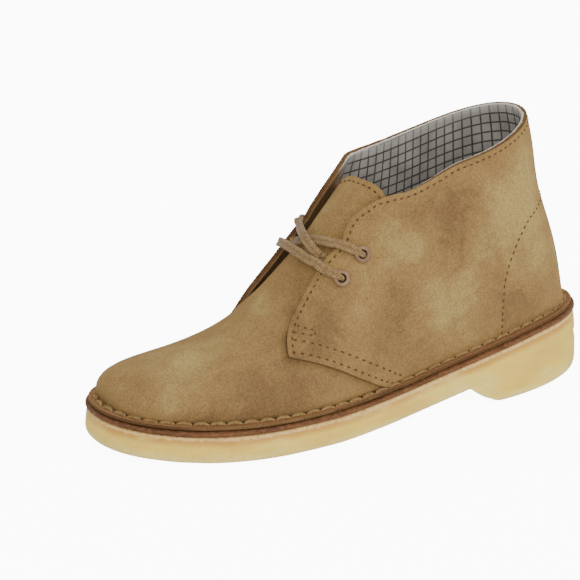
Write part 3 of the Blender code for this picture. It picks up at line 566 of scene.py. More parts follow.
upper = {
    "levels": 2,
    "sharpAngle": 42.0,
    "crease": 0.86,
    # the vamp's foot is tucked in from tuckStart to tuckFull, most at tuckRise over the crepe's edge
    "tuck": 0.0021,
    "tuckStart": -0.042,
    "tuckFull": -0.072,
    "tuckRise": 0.0080,
    "tuckSpread": 0.0042,
    # round the toe the tuck points at toeCentre and eases off
    "toeCentre": -0.085,
    "toeStart": -0.098,
    "toeReach": 0.020,
    "toeEase": 0.8,
    # facets are turned in front of evenFore and behind evenHeel, within this rise over the crepe's edge
    "evenFore": -0.052,
    "evenHeel": 0.035,
    "evenRise": (0.0056, 0.030),
    # the tongue's sides are moved out under the quarters in front of this place
    "tongueReach": 0.0018,
    "tongueStart": -0.018,
    "tongueFade": 0.010,
    "tongueHalf": 0.012,
    "tongueTop": (0.008, 0.012),
    # the throat line, where the vamp's end and the tongue's foot meet
    "throatSpan": (-0.052, -0.043),
    "throatHeight": (0.041, 0.062),
    "throatHalf": 0.031,
    "throatUp": (0.0, 0.66, 0.75),
    "throatFacing": 0.72,
    "throatJoin": 0.0024,
    # a ray that meets each panel
    "rays": {
        "vamp": ((0.0, -0.085, 0.2), (0, 0, -1)),
        "quarter": ((0.2, 0.03, 0.06), (-1, 0, 0)),
        "inside": ((0.0, 0.05, 0.08), (1, 0, 0)),
        "flange": ((0.0, -0.1255, 0.2), (0, 0, -1)),
    },
    # cut faces above this height are the collar's, and a seam ends this near to the flange
    "collarLeast": 0.05,
    "footGap": 0.0016,
    "pointPitch": 0.001,
    "outerCorner": (0.0278, -0.0443, 0.0464),
    "innerCorner": (-0.0275, -0.0444, 0.0463),
    "creases": (
        # points along the fold, width, depth
        (((0.0308, 0.0235, 0.0643), (0.0327, 0.0181, 0.0564), (0.0349, 0.0093, 0.0459)), 0.0042, 0.0007),
        (((0.0320, 0.0320, 0.0620), (0.0345, 0.0270, 0.0520)), 0.0050, -0.0004),
        (((0.0285, 0.0451, 0.1020), (0.0292, 0.0432, 0.0928), (0.0302, 0.0445, 0.0803)), 0.0080, 0.0009),
        (((0.0322, 0.0771, 0.0571), (0.0303, 0.0928, 0.0457)), 0.0045, 0.0006),
        (((0.0325, 0.0760, 0.0500), (0.0315, 0.0880, 0.0410)), 0.0040, 0.0005),
        (((-0.0300, 0.0260, 0.0640), (-0.0330, 0.0170, 0.0520), (-0.0345, 0.0080, 0.0440)), 0.0050, 0.0007),
        (((-0.0290, 0.0470, 0.1050), (-0.0300, 0.0440, 0.0830)), 0.0085, 0.0008),
        (((-0.0320, 0.0780, 0.0560), (-0.0300, 0.0930, 0.0450)), 0.0050, 0.0005),
    ),
    "mottleAndPaintedLight": (
        # place, reach, lean towards light or deep; the patches are partly the suede's own mottling, partly
        # painted light on the toe's top and painted shade low on the sides
        ((0.006, -0.085, 0.045), 0.022, 0.55),
        ((-0.003, -0.041, 0.060), 0.014, 0.30),
        ((0.010, -0.112, 0.034), 0.018, -0.25),
        ((0.000, -0.022, 0.080), 0.014, -0.20),
        ((0.031, -0.004, 0.062), 0.012, 0.40),
        ((0.029, -0.026, 0.062), 0.015, -0.42),
        ((0.029, 0.020, 0.083), 0.012, 0.55),
        ((0.027, 0.082, 0.100), 0.018, 0.85),
        ((0.026, 0.094, 0.070), 0.014, 0.60),
        ((0.034, 0.040, 0.055), 0.016, 0.40),
        ((0.028, 0.060, 0.085), 0.012, 0.30),
        ((0.028, 0.046, 0.100), 0.012, -0.50),
        ((0.029, 0.042, 0.084), 0.010, -0.40),
        ((0.028, 0.022, 0.100), 0.010, -0.25),
        ((0.038, -0.050, 0.026), 0.026, -0.75),
        ((0.033, -0.085, 0.022), 0.020, -0.45),
        ((0.034, 0.006, 0.048), 0.014, -0.35),
        ((0.030, 0.014, 0.070), 0.009, -0.35),
        ((0.032, 0.082, 0.048), 0.015, -0.32),
        ((0.033, 0.060, 0.042), 0.012, -0.05),
        ((-0.006, 0.000, 0.098), 0.012, 0.35),
        ((-0.030, -0.050, 0.030), 0.026, -0.60),
        ((-0.028, 0.045, 0.095), 0.020, -0.45),
        ((-0.030, 0.010, 0.070), 0.018, 0.40),
        ((-0.026, 0.085, 0.090), 0.020, 0.50),
        ((-0.032, 0.075, 0.045), 0.018, -0.40),
    ),
    "foldLength": 0.05,
    "foldSpread": 2.5,
    # painted shade: its reach along the quarters' borders and at the wall's foot, and its strength at the
    # foot
    "edgeShade": 0.0026,
    "footShade": 0.0026,
    "footShadeStrength": 0.7,
}

# the finish of each panel, in the order of the mesh's material slots
panelFinishes = {
    "vamp": suedeOuter,
    "inside": checkLining,
    "cut": suedeCut,
    "flange": suedeFlange,
    "quarter": suedeOuter,
    "collar": collarEdge,
}
slotOf = {name: i for i, name in enumerate(panelFinishes)}


def reachTongueUnder(shape):
    # low on the throat the tongue's sides run on under the quarters
    half, front = upper["tongueTop"]
    shape.verts.ensure_lookup_table()
    top = max(shape.verts, key=lambda v: v.co.z if abs(v.co.x) < half and v.co.y < front else -1.0)
    found, waiting = {top}, [top]
    while waiting:
        vert = waiting.pop()
        for edge in vert.link_edges:
            other = edge.other_vert(vert)
            if other not in found:
                found.add(other)
                waiting.append(other)
    shape.normal_update()
    moved = 0
    for vert in found:
        side = 1.0 if vert.co.x > 0 else -1.0
        ahead = upper["tongueStart"] - vert.co.y
        if ahead > 0 and vert.normal.x * side > 0.35 and abs(vert.co.x) > upper["tongueHalf"]:
            vert.co.x += side * upper["tongueReach"] * min(1.0, ahead / upper["tongueFade"])
            moved += 1
    print("tongue points", len(found), "moved", moved)
    return [face for face in shape.faces if face.verts[0] in found]


def joinTongueToVamp(shape):
    # the end of the vamp and the foot of the tongue face each other along the throat line
    front, back = upper["throatSpan"]
    low, high = upper["throatHeight"]
    ends = {True: [], False: []}
    for face in shape.faces:
        middle = face.calc_center_median()
        if front < middle.y < back and low < middle.z < high and abs(middle.x) < upper["throatHalf"]:
            facing = face.normal.dot(Vector(upper["throatUp"]))
            if abs(facing) > upper["throatFacing"]:
                ends[facing > 0].append(face)
    vampEnd = sorted({v for f in ends[True] for v in f.verts}, key=lambda v: v.index)
    tongueEnd = sorted({v for f in ends[False] for v in f.verts}, key=lambda v: v.index)
    pairs = {}
    for vert in tongueEnd:
        near = min(vampEnd, key=lambda other: (other.co - vert.co).length)
        if (near.co - vert.co).length < upper["throatJoin"]:
            pairs[vert] = near
    print("throat: vamp end", len(vampEnd), "tongue end", len(tongueEnd), "pairs", len(pairs))
    bmesh.ops.delete(shape, geom=ends[True] + ends[False], context='FACES_ONLY')
    bmesh.ops.weld_verts(shape, targetmap=pairs)
    bmesh.ops.delete(shape, geom=[e for e in shape.edges if not e.link_faces], context='EDGES')
    bmesh.ops.delete(shape, geom=[v for v in shape.verts if not v.link_faces], context='VERTS')


def spreadRegion(seed, angle):
    limit = radians(angle)
    found, waiting = {seed}, [seed]
    while waiting:
        face = waiting.pop()
        for edge in face.edges:
            if len(edge.link_faces) == 2 and edge.calc_face_angle(0.0) <= limit:
                for other in edge.link_faces:
                    if other not in found:
                        found.add(other)
                        waiting.append(other)
    return found


def edgeRuns(faces):
    # the borders of a panel as runs of points, the longest first
    edges = {e.index: e for f in faces for e in f.edges if len([o for o in e.link_faces if o in faces]) == 1}
    left, runs = dict(sorted(edges.items())), []
    while left:
        edge = left.pop(next(iter(left)))
        run = [edge.verts[0], edge.verts[1]]
        while run[-1] != run[0]:
            ahead = sorted(e.index for e in run[-1].link_edges if e.index in left)
            if not ahead:
                break
            run.append(left.pop(ahead[0]).other_vert(run[-1]))
        runs.append([v.co.copy() for v in run])
    return sorted(runs, key=len, reverse=True)


def makeUpper():
    obj = nodeCopy("suedeUpper", "upper", "tongue", even=True)
    shape = bmesh.new()
    shape.from_mesh(obj.data)
    tongueFaces = reachTongueUnder(shape)
    joinTongueToVamp(shape)
    tongueFaces = {face for face in tongueFaces if face.is_valid}
    shape.faces.index_update()
    shape.edges.index_update()
    shape.faces.ensure_lookup_table()
    tree = BVHTree.FromBMesh(shape)
    panels = {}
    for name, (start, way) in upper["rays"].items():
        seed = shape.faces[tree.ray_cast(Vector(start), Vector(way))[2]]
        panels[name] = spreadRegion(seed, upper["sharpAngle"])
    for face in shape.faces:
        high = face.calc_center_median().z > upper["collarLeast"]
        face.material_index = slotOf["collar" if high and face not in tongueFaces else "cut"]
    for name, faces in panels.items():
        print("panel", name, len(faces), "faces")
        for face in faces:
            face.material_index = slotOf[name]
    runs = {name: edgeRuns(panels[name]) for name in ("vamp", "quarter", "flange")}
    shape.to_mesh(obj.data)
    shape.free()
    for finish in panelFinishes.values():
        obj.data.materials.append(finish)
    smoothCopy(obj, upper["levels"], upper["sharpAngle"], upper["crease"])
    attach(obj, "root")
    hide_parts("upper", "tongue")
    return obj, runs


suedeUpper, panelRuns = makeUpper()
for name, runs in panelRuns.items():
    print("runs", name, [len(run) for run in runs[:4]])
print("upper made:", len(suedeUpper.data.polygons), "faces")


def panelTree(obj, *panels):
    # the faces of the named panels, or of the whole piece
    slots = [slotOf[name] for name in panels]
    verts = [v.co for v in obj.data.vertices]
    faces = [tuple(p.vertices) for p in obj.data.polygons if not slots or p.material_index in slots]
    return BVHTree.FromPolygons(verts, faces)


def pointFinder(points):
    finder = KDTree(len(points))
    for i, point in enumerate(points):
        finder.insert(point, i)
    finder.balance()
    return finder


def runLength(run):
    return sum((b - a).length for a, b in zip(run, run[1:]))


def resample(points, pitch):
    lengths = [0.0]
    for first, second in zip(points, points[1:]):
        lengths.append(lengths[-1] + (second - first).length)
    count = max(1, round(lengths[-1] / pitch))
    found, j = [], 0
    for i in range(count + 1):
        at = lengths[-1] * i / count
        while j < len(points) - 2 and lengths[j + 1] < at:
            j += 1
        share = (at - lengths[j]) / max(1e-9, lengths[j + 1] - lengths[j])
        found.append(points[j].lerp(points[j + 1], share))
    return found


def splitQuarterBorder():
    # the border of the quarters: over the collar from corner to corner, and down each seam to the welt
    loop = panelRuns["quarter"][0][:-1]
    foot = pointFinder(panelRuns["flange"][0] + panelRuns["flange"][1])
    count = len(loop)
    marks = [min(range(count), key=lambda i: (loop[i] - Vector(upper[name])).length)
             for name in ("innerCorner", "outerCorner")]

    def walk(start, step, stop):
        run, i = [loop[start]], start
        while True:
            i = (i + step) % count
            run.append(loop[i])
            if i == stop or foot.find(loop[i])[2] < upper["footGap"] or len(run) > count:
                return run

    top = max((walk(marks[0], step, marks[1]) for step in (1, -1)), key=lambda run: max(p.z for p in run))
    seams = []
    for mark in marks:
        seams.append(min((walk(mark, step, -1) for step in (1, -1)), key=len))
    return top, seams


topBorder, seamBorders = splitQuarterBorder()
print("border points: top", len(topBorder), "seams", [len(run) for run in seamBorders])
flangeInside, flangeOutside = sorted(panelRuns["flange"][:2], key=lambda run: max(p.x for p in run))
collarPoints, footPoints = (resample(run, upper["pointPitch"]) for run in (topBorder, flangeInside))
seamPoints = [point for run in seamBorders for point in resample(run, upper["pointPitch"])]


def distanceToLine(point, line):
    best = 1.0
    for first, second in zip(line, line[1:]):
        along = second - first
        share = min(1.0, max(0.0, (point - first).dot(along) / along.length_squared))
        best = min(best, (point - first - along * share).length)
    return best


def tuckVamp(obj):
    # the vamp's foot is drawn in a little, so that the welt stitches stand clear of it
    free = {slotOf["vamp"], slotOf["inside"]}
    held = {i for face in obj.data.polygons if face.material_index not in free for i in face.vertices}
    for vert in obj.data.vertices:
        x, y, z = vert.co
        if vert.index not in held and y < upper["tuckStart"]:
            share = softStep((upper["tuckStart"] - y) / (upper["tuckStart"] - upper["tuckFull"]))
            share *= 1 - upper["toeEase"] * softStep((upper["toeStart"] - y) / upper["toeReach"])
            rise = (z - crepeTop(y) - upper["tuckRise"]) / upper["tuckSpread"]
            inward = Vector((-x, max(y, upper["toeCentre"]) - y, 0.0)).normalized()
            vert.co += inward * upper["tuck"] * share * exp(-rise * rise)


def ageUpper(obj):
    # soft folds first, then the masks that the suede and the lining read, among them the suede's painted
    # shade
    folds = [([Vector(p) for p in line], width, depth) for line, width, depth in upper["creases"]]
    for vert in obj.data.vertices:
        for line, width, depth in folds:
            if abs(vert.co.y - line[0].y) < upper["foldLength"]:
                gap = distanceToLine(vert.co, line)
                if gap < width * upper["foldSpread"]:
                    outward = Vector((vert.co.x, 0.0, 0.0)).normalized()
                    vert.co -= outward * depth * exp(-(gap / width) ** 2)
    tuckVamp(obj)
    edges = pointFinder(collarPoints + seamPoints)
    rims = pointFinder(collarPoints)
    foot = pointFinder(footPoints)
    names = ("suedeToneAndPaintedLight", "suedePaintedShade", "rimDistance")
    for name in names:
        obj.data.attributes.new(name, 'FLOAT', 'POINT')
    tone, shade, rim = (obj.data.attributes[name] for name in names)
    plain = {slotOf[name] for name in ("inside", "quarter", "collar")}
    panelOf = {}
    for polygon in obj.data.polygons:
        for i in polygon.vertices:
            panelOf.setdefault(i, set()).add(polygon.material_index)
    for vert in obj.data.vertices:
        # the suede's tone: its own mottling, with painted light on the toe's top and painted shade low on
        # the sides
        lean = sum(weight * exp(-((vert.co - Vector(place)).length / reach) ** 2)
                   for place, reach, weight in upper["mottleAndPaintedLight"])
        tone.data[vert.index].value = lean
        # painted shade: darker at the foot of the wall and, off the plain panels, along the quarters'
        # borders, where contact shadow falls
        dark = upper["footShadeStrength"] * exp(-(foot.find(vert.co)[2] / upper["footShade"]) ** 2)
        if not panelOf[vert.index] & plain:
            dark = max(dark, exp(-(edges.find(vert.co)[2] / upper["edgeShade"]) ** 2))
        shade.data[vert.index].value = dark
        rim.data[vert.index].value = rims.find(vert.co)[2]


ageUpper(suedeUpper)


def mapLining(obj):
    # the cloth runs round the leg from the back, u along the collar and v down from it
    centre = Vector(lining["clothCentre"])
    table = []
    back = [p for p in collarPoints if p.y > lining["clothFront"]]
    middle = min(range(len(back)), key=lambda i: abs(back[i].x) if back[i].y > lining["clothBack"] else 1.0)
    for way in (1, -1):
        travel, i = 0.0, middle
        while 0 <= i + way < len(back):
            travel += (back[i + way] - back[i]).length
            i += way
            table.append((atan2(back[i].x - centre.x, back[i].y - centre.y), travel, back[i].z))
    table = sorted((angle, travel if angle > 0 else -travel, z) for angle, travel, z in table)
    angles, travels, heights = (np.array(column) for column in zip(*table))
    layer = obj.data.uv_layers.new(name="cloth")
    places = np.array([v.co for v in obj.data.vertices])
    turn = np.arctan2(places[:, 0] - centre.x, places[:, 1] - centre.y)
    u = np.interp(turn, angles, travels)
    v = places[:, 2] - np.interp(turn, angles, heights)
    for loop in obj.data.loops:
        layer.data[loop.index].uv = (u[loop.vertex_index] + 0.5, v[loop.vertex_index] + 0.5)


mapLining(suedeUpper)
print("upper aged and lined")


def crepeFinish():
    finish, tree, shader = newFinish("crepeRubber", sole["roughness"], sole["shine"])
    place = objectPlace(tree)
    depth, level, front = (attributeNode(tree, name) for name in ("soleDepth", "soleLevel", "soleFront"))
    slow = mathNode(tree, 'SUBTRACT', noiseNode(tree, place, *sole["slow"]), 0.5)
    wander = mathNode(tree, 'MULTIPLY', slow, sole["wander"])
    quick = mathNode(tree, 'SUBTRACT', noiseNode(tree, place, *sole["quick"]), 0.5)
    ragged = mathNode(tree, 'MULTIPLY', quick, rangeNode(tree, front, 0.0, 1.0, *sole["ragged"]))
    down = mathNode(tree, 'ADD', depth, wander)
    edge = mathNode(tree, 'MULTIPLY_ADD', wander, 0.3, mathNode(tree, 'ADD', depth, ragged))
    tone = mixColour(tree, rangeNode(tree, down, *sole["bandDepth"]), sole["band"], sole["crepe"])
    low = mathNode(tree, 'ADD', level, wander)
    tone = mixColour(tree, rangeNode(tree, low, *sole["bottomRise"], 1.0, 0.0), tone, sole["bottom"])
    cloud = patternMask(tree, objectPlace(tree, sole["cloudStretch"]), sole["cloud"], 0.40, 0.72, 0.0, 0.40)
    tone = mixColour(tree, cloud, tone, sole["band"])
    glowPlace = objectPlace(tree, sole["glowStretch"], sole["glowShift"])
    glow = patternMask(tree, glowPlace, sole["glow"], 0.48, 0.70, 0.0, 0.45)
    tone = mixColour(tree, glow, tone, sole["bottom"])
    creamGrain = patternMask(tree, place, sole["creamGrain"], 0.42, 0.68)
    cream = mixColour(tree, creamGrain, sole["cream"], sole["creamDark"])
    tone = mixColour(tree, rangeNode(tree, edge, *sole["stripDepth"], 1.0, 0.0), tone, cream)
    fibre = patternMask(tree, objectPlace(tree, sole["fibreStretch"]), sole["fibre"], 0.60, 0.68)
    frayed = mathNode(tree, 'MULTIPLY', fibre, rangeNode(tree, edge, *sole["frayDepth"], 0.7, 0.0))
    tone = mixColour(tree, mathNode(tree, 'MULTIPLY', frayed, front), tone, sole["fray"])
    crumb = noiseNode(tree, place, *sole["crumb"])
    tone = mixColour(tree, rangeNode(tree, crumb, 0.50, 0.70, 0.0, 0.35), tone, sole["grain"])
    tree.links.new(tone, shader.inputs["Base Color"])
    shader.inputs["Subsurface Weight"].default_value = 0.3
    shader.inputs["Subsurface Radius"].default_value = (1.0, 0.6, 0.25)
    shader.inputs["Subsurface Scale"].default_value = 0.003
    pits = tree.nodes.new("ShaderNodeTexVoronoi")
    pits.inputs["Scale"].default_value = sole["pits"]
    tree.links.new(place, pits.inputs["Vector"])
    relief = mathNode(tree, 'MULTIPLY_ADD', pits.outputs["Distance"], 0.5, crumb)
    bumpFrom(tree, shader, relief, sole["pitDepth"], 0.6)
    return finish


def smoothSole(slab):
    joint = slab.vertex_groups.new(name="heelJoint")
    for vert in slab.data.vertices:
        gap = abs(crepeTop(vert.co.y) - sole["foreHeight"] - vert.co.z)
        if vert.co.y > sole["jointStart"] and gap < sole["jointReach"]:
            joint.add([vert.index], softStep(1 - gap / sole["jointReach"]), 'REPLACE')
    passes = (("skin", sole["skinRounds"], ""), ("joint", sole["jointRounds"], "heelJoint"))
    for name, rounds, group in passes:
        smooth = slab.modifiers.new(name, 'SMOOTH')
        smooth.factor = 0.5
        smooth.iterations = rounds
        smooth.vertex_group = group
    applyModifiers(slab)
    bpy.ops.object.shade_smooth()


def makeSole():
    slab = nodeCopy("crepeSole", "outsole")
    smoothCopy(slab, sole["levels"], sole["sharpAngle"], sole["crease"])
    lift = nodeCopy("heelPart", "heel_lift")
    for vert in lift.data.vertices:
        # the lift's top goes into the slab, so that the two are one crepe block
        if crepeTop(vert.co.y) - sole["foreHeight"] - vert.co.z < sole["heelGap"]:
            vert.co.z += sole["heelSink"]
    smoothCopy(lift, sole["levels"], sole["sharpAngle"], sole["crease"])
    only(slab)
    lift.select_set(True)
    bpy.ops.object.join()
    slab.data.remesh_voxel_size = sole["voxel"]
    slab.data.remesh_voxel_adaptivity = 0.0
    bpy.ops.object.voxel_remesh()
    smoothSole(slab)
    names = ("soleDepth", "soleLevel", "soleFront")
    for name in names:
        slab.data.attributes.new(name, 'FLOAT', 'POINT')
    depths, levels, fronts = (slab.data.attributes[name].data for name in names)
    (heelEnd, heelFade), (frontStart, frontFade) = sole["heelEnd"], sole["frontStart"]
    for i, vert in enumerate(slab.data.vertices):
        vert.co.z = max(0.0, vert.co.z)
        station = 0.5 - vert.co.y / sole["length"]
        overHeel = 1 - softStep((station - heelEnd) / heelFade)
        under = (crepeTop(vert.co.y) - sole["foreHeight"]) * (1 - overHeel)
        depths[i].value = crepeTop(vert.co.y) - vert.co.z
        levels[i].value = vert.co.z - under
        fronts[i].value = softStep((station - frontStart) / frontFade)
    slab.data.materials.clear()
    slab.data.materials.append(crepeFinish())
    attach(slab, "root")
    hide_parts("outsole", "heel_lift")
    return slab


crepeSole = makeSole()
print("crepe sole made:", len(crepeSole.data.polygons), "faces")

midsole = {
    "red": srgb("744928"),
    "dark": srgb("5A371D"),
    "light": srgb("84603A"),
    "roughness": 0.62,
    "shine": 0.3,
    "stretch": (1.0, 1.0, 3.0),
    "patches": (70.0, 4.0, 0.6),
    "fibre": (380.0, 3.0, 0.7),
    "grain": (900.0, 3.0, 0.7),
    "grainDepth": 0.00025,
    "levels": 2,
    "sharpAngle": 50.0,
    "crease": 0.35,
}


def midsoleFinish():
    finish, tree, shader = newFinish("midsoleLeather", midsole["roughness"], midsole["shine"])
    place = objectPlace(tree, midsole["stretch"])
    patches = patternMask(tree, place, midsole["patches"], 0.35, 0.68)
    tone = mixColour(tree, patches, midsole["dark"], midsole["red"])
    tone = mixColour(tree, patternMask(tree, place, midsole["fibre"], 0.45, 0.75), tone, midsole["light"])
    tree.links.new(tone, shader.inputs["Base Color"])
    bumpFrom(tree, shader, noiseNode(tree, place, *midsole["grain"]), midsole["grainDepth"], 0.7)
    return finish


def dressNode(name, node, finish, shape):
    # the shape's own dictionary gives its levels, sharp angle and crease
    obj = nodeCopy(name, node)
    smoothCopy(obj, shape["levels"], shape["sharpAngle"], shape["crease"])
    obj.data.materials.append(finish)
    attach(obj, "root")
    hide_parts(node)


dressNode("midsoleEdge", "midsole", midsoleFinish(), midsole)

insole = {
    "cloth": srgb("A08B6A"),
    "clothLight": srgb("B59F7C"),
    "roughness": 0.9,
    "cloud": (60.0, 3.0),
    "weave": (1500.0, 2.0, 0.6),
    "weaveDepth": 0.00012,
    "levels": 2,
    "sharpAngle": 40.0,
    "crease": 0.6,
}


def insoleFinish():
    finish, tree, shader = newFinish("insoleCloth", insole["roughness"])
    place = objectPlace(tree)
    cloud = patternMask(tree, place, insole["cloud"], 0.3, 0.7)
    tone = mixColour(tree, cloud, insole["cloth"], insole["clothLight"])
    tree.links.new(tone, shader.inputs["Base Color"])
    bumpFrom(tree, shader, noiseNode(tree, place, *insole["weave"]), insole["weaveDepth"], 0.6)
    return finish


dressNode("insolePad", "insole", insoleFinish(), insole)
print("midsole and insole made")

eyelets = {
    # centre on the face of the quarter, and the way out
    "outerLower": ((0.0237, -0.0132, 0.0748), (0.861, -0.291, 0.418)),
    "outerUpper": ((0.0228, -0.0017, 0.0843), (0.911, -0.219, 0.348)),
    "innerLower": ((-0.0251, -0.0126, 0.0740), (-0.948, -0.194, 0.254)),
    "innerUpper": ((-0.0245, -0.0008, 0.0842), (-0.970, -0.128, 0.208)),
}

ring = {
    "metal": srgb("7D6044"),
    "worn": srgb("97785A"),
    "roughness": (0.42, 0.62),
    "metallic": 0.25,
    "wear": (260.0, 3.0, 0.6),
    "smears": (600.0, 3.0),
    "grain": (2200.0, 2.0),
    "grainDepth": 0.00003,
    "levels": 2,
    "sharpAngle": 60.0,
    "crease": 0.5,
}


def eyeletFinish():
    finish, tree, shader = newFinish("eyeletMetal", ring["roughness"][0])
    place = objectPlace(tree)
    worn = patternMask(tree, place, ring["wear"], 0.35, 0.7)
    tree.links.new(mixColour(tree, worn, ring["metal"], ring["worn"]), shader.inputs["Base Color"])
    dullness = patternMask(tree, place, ring["smears"], 0.3, 0.7, *ring["roughness"])
    tree.links.new(dullness, shader.inputs["Roughness"])
    shader.inputs["Metallic"].default_value = ring["metallic"]
    bumpFrom(tree, shader, noiseNode(tree, place, *ring["grain"]), ring["grainDepth"], 0.5)
    return finish


ringMetal = eyeletFinish()
for corner in ("outer_lower", "outer_upper", "inner_lower", "inner_upper"):
    dressNode("ring_" + corner, "eyelet_" + corner, ringMetal, ring)
print("eyelets made")

stitching = {
    "pitch": 0.0034,
    "seamPitch": 0.0039,
    "length": 0.0018,
    "width": 0.00085,
    "height": 0.00060,
    "edgeInset": 0.0027,
    "seamInsets": (0.0028, 0.0085),
    "thread": srgb("4C331D"),
    "threadLight": srgb("68492B"),
    "roughness": 0.85,
    "shine": 0.2,
    "twist": (900.0, 2.0),
    "fuzz": (2600.0, 2.0),
    "fuzzDepth": 0.0001,
    "lift": 0.00005,
    "guidePitch": 0.002,
    "boxPitch": 0.0032,
    "boxShare": 0.78,
    "hemInset": 0.0026,
    "hemLeast": 0.090,
    # the line down each side of the heel counter, back to front
    "counter": ((0.0016, 0.1050, 0.0925), (0.0110, 0.1035, 0.0925), (0.0186, 0.0990, 0.0915),
                (0.0273, 0.0869, 0.0868), (0.0304, 0.0795, 0.0790), (0.0317, 0.0743, 0.0691),
                (0.0324, 0.0713, 0.0589), (0.0332, 0.0697, 0.0459), (0.0328, 0.0704, 0.0322)),
    # the corners of the small sewn box in the quarter's front corner
    "box": ((0.0240, -0.0382, 0.0562), (0.0294, -0.0303, 0.0540), (0.0302, -0.0313, 0.0518),
            (0.0246, -0.0403, 0.0536)),
}


def makeBead(name, length, width, height, segments, rings):
    bpy.ops.object.select_all(action='DESELECT')
    bpy.ops.mesh.primitive_uv_sphere_add(segments=segments, ring_count=rings, radius=0.5, location=(0, 0, 0))
    bead = bpy.context.object
    bead.name = name
    bpy.ops.object.mode_set(mode='EDIT')
    bpy.ops.mesh.select_all(action='SELECT')
    bpy.ops.transform.rotate(value=pi / 2, orient_axis='Y', center_override=(0, 0, 0))
    bpy.ops.transform.resize(value=(length, width, height), center_override=(0, 0, 0))
    bpy.ops.object.mode_set(mode='OBJECT')
    return bead


def insetRun(run, distance, tree):
    # the way that stays on the panel is the way in
    tries = []
    for sign in (1.0, -1.0):
        found, reach = [], 0.0
        for i, point in enumerate(run):
            along = run[min(i + 1, len(run) - 1)] - run[max(i - 1, 0)]
            _, normal, _, _ = tree.find_nearest(point)
            inward = along.normalized().cross(normal).normalized() * sign
            near = tree.find_nearest(point + inward * distance)[0]
            reach += (near - point).length
            found.append(near)
        tries.append((reach, found))
    return max(tries, key=lambda each: each[0])[1]


def easeRun(run, rounds):
    for _ in range(rounds):
        run = [run[0]] + [(a + b * 2 + c) / 4 for a, b, c in zip(run, run[1:], run[2:])] + [run[-1]]
    return run


def framesAlong(run, tree, pitch, lift):
    frames = []
    points = resample(run, pitch)
    for first, second in zip(points, points[1:]):
        near, normal, _, _ = tree.find_nearest((first + second) / 2)
        along = (second - first).normalized()
        across = normal.cross(along).normalized()
        turn = Matrix((along, across, along.cross(across))).transposed().to_4x4()
        frames.append(Matrix.Translation(near + normal * lift) @ turn)
    return frames


def scatterCopies(name, bead, frames, finish):
    shape = bmesh.new()
    for matrix in frames:
        start = len(shape.verts)
        shape.from_mesh(bead.data)
        shape.verts.ensure_lookup_table()
        bmesh.ops.transform(shape, matrix=matrix, verts=shape.verts[start:])
    mesh = bpy.data.meshes.new(name)
    shape.to_mesh(mesh)
    shape.free()
    obj = bpy.data.objects.new(name, mesh)
    bpy.context.scene.collection.objects.link(obj)
    bpy.data.objects.remove(bead)
    only(obj)
    bpy.ops.object.shade_smooth()
    obj.data.materials.append(finish)
    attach(obj, "root")


def threadGroup():
    group, start, end = newGroup(
        "threadTwist",
        (("Dark", 'NodeSocketColor', stitching["thread"]),
         ("Light", 'NodeSocketColor', stitching["threadLight"])),
        (("Colour", 'NodeSocketColor'), ("Height", 'NodeSocketFloat')),
    )
    place = objectPlace(group)
    twist = patternMask(group, place, stitching["twist"], 0.35, 0.65)
    tone = mixColour(group, twist, start.outputs["Dark"], start.outputs["Light"])
    group.links.new(tone, end.inputs["Colour"])
    group.links.new(noiseNode(group, place, *stitching["fuzz"]), end.inputs["Height"])
    return group


threadTwist = threadGroup()


def threadFinish(name, dark, light):
    finish, tree, shader = newFinish(name, stitching["roughness"], stitching["shine"])
    twist = groupNode(tree, threadTwist, Dark=dark, Light=light)
    tree.links.new(twist.outputs["Colour"], shader.inputs["Base Color"])
    bumpFrom(tree, shader, twist.outputs["Height"], stitching["fuzzDepth"], 0.6)
    return finish


def guideRun(run, inset, tree):
    return insetRun(easeRun(resample(run, stitching["guidePitch"]), 2), inset, tree)


def sewBox(tree):
    # the small sewn box is a row of dots along three sides, on each quarter
    dot = Matrix.Diagonal((stitching["boxShare"], 1.0, 1.0, 1.0))
    frames = []
    for side in (1.0, -1.0):
        corners = [tree.find_nearest(Vector((x * side, y, z)))[0] for x, y, z in stitching["box"]]
        for ends in zip(corners, corners[1:]):
            for place in framesAlong(ends, tree, stitching["boxPitch"], stitching["lift"]):
                frames.append(place @ dot)
    return frames


def sewUpper():
    quarter, vamp = panelTree(suedeUpper, "quarter"), panelTree(suedeUpper, "vamp")
    pitch = stitching["pitch"]
    rows = [(guideRun(topBorder, stitching["edgeInset"], quarter), quarter, pitch)]
    for seam in seamBorders:
        for inset in stitching["seamInsets"]:
            rows.append((guideRun(seam, inset, quarter), quarter, stitching["seamPitch"]))
    for side in (1.0, -1.0):
        line = [Vector((x * side if x > 0.005 else x, y, z)) for x, y, z in stitching["counter"]]
        guide = [quarter.find_nearest(p)[0] for p in resample(line, stitching["guidePitch"])]
        rows.append((guide, quarter, pitch))
    border = panelRuns["vamp"][0][:-1]
    low = min(range(len(border)), key=lambda i: border[i].z)
    hem = [p for p in border[low:] + border[:low] if p.z > stitching["hemLeast"]]
    rows.append((guideRun(hem, stitching["hemInset"], vamp), vamp, pitch))
    frames = []
    for run, tree, pitch in rows:
        frames += framesAlong(run, tree, pitch, stitching["lift"])
    frames += sewBox(quarter)
    bead = makeBead("stitch", stitching["length"], stitching["width"], stitching["height"], 8, 6)
    finish = threadFinish("sewingThread", stitching["thread"], stitching["threadLight"])
    print("top stitches:", len(frames), "hem points", len(hem))
    scatterCopies("topStitches", bead, frames, finish)


sewUpper()

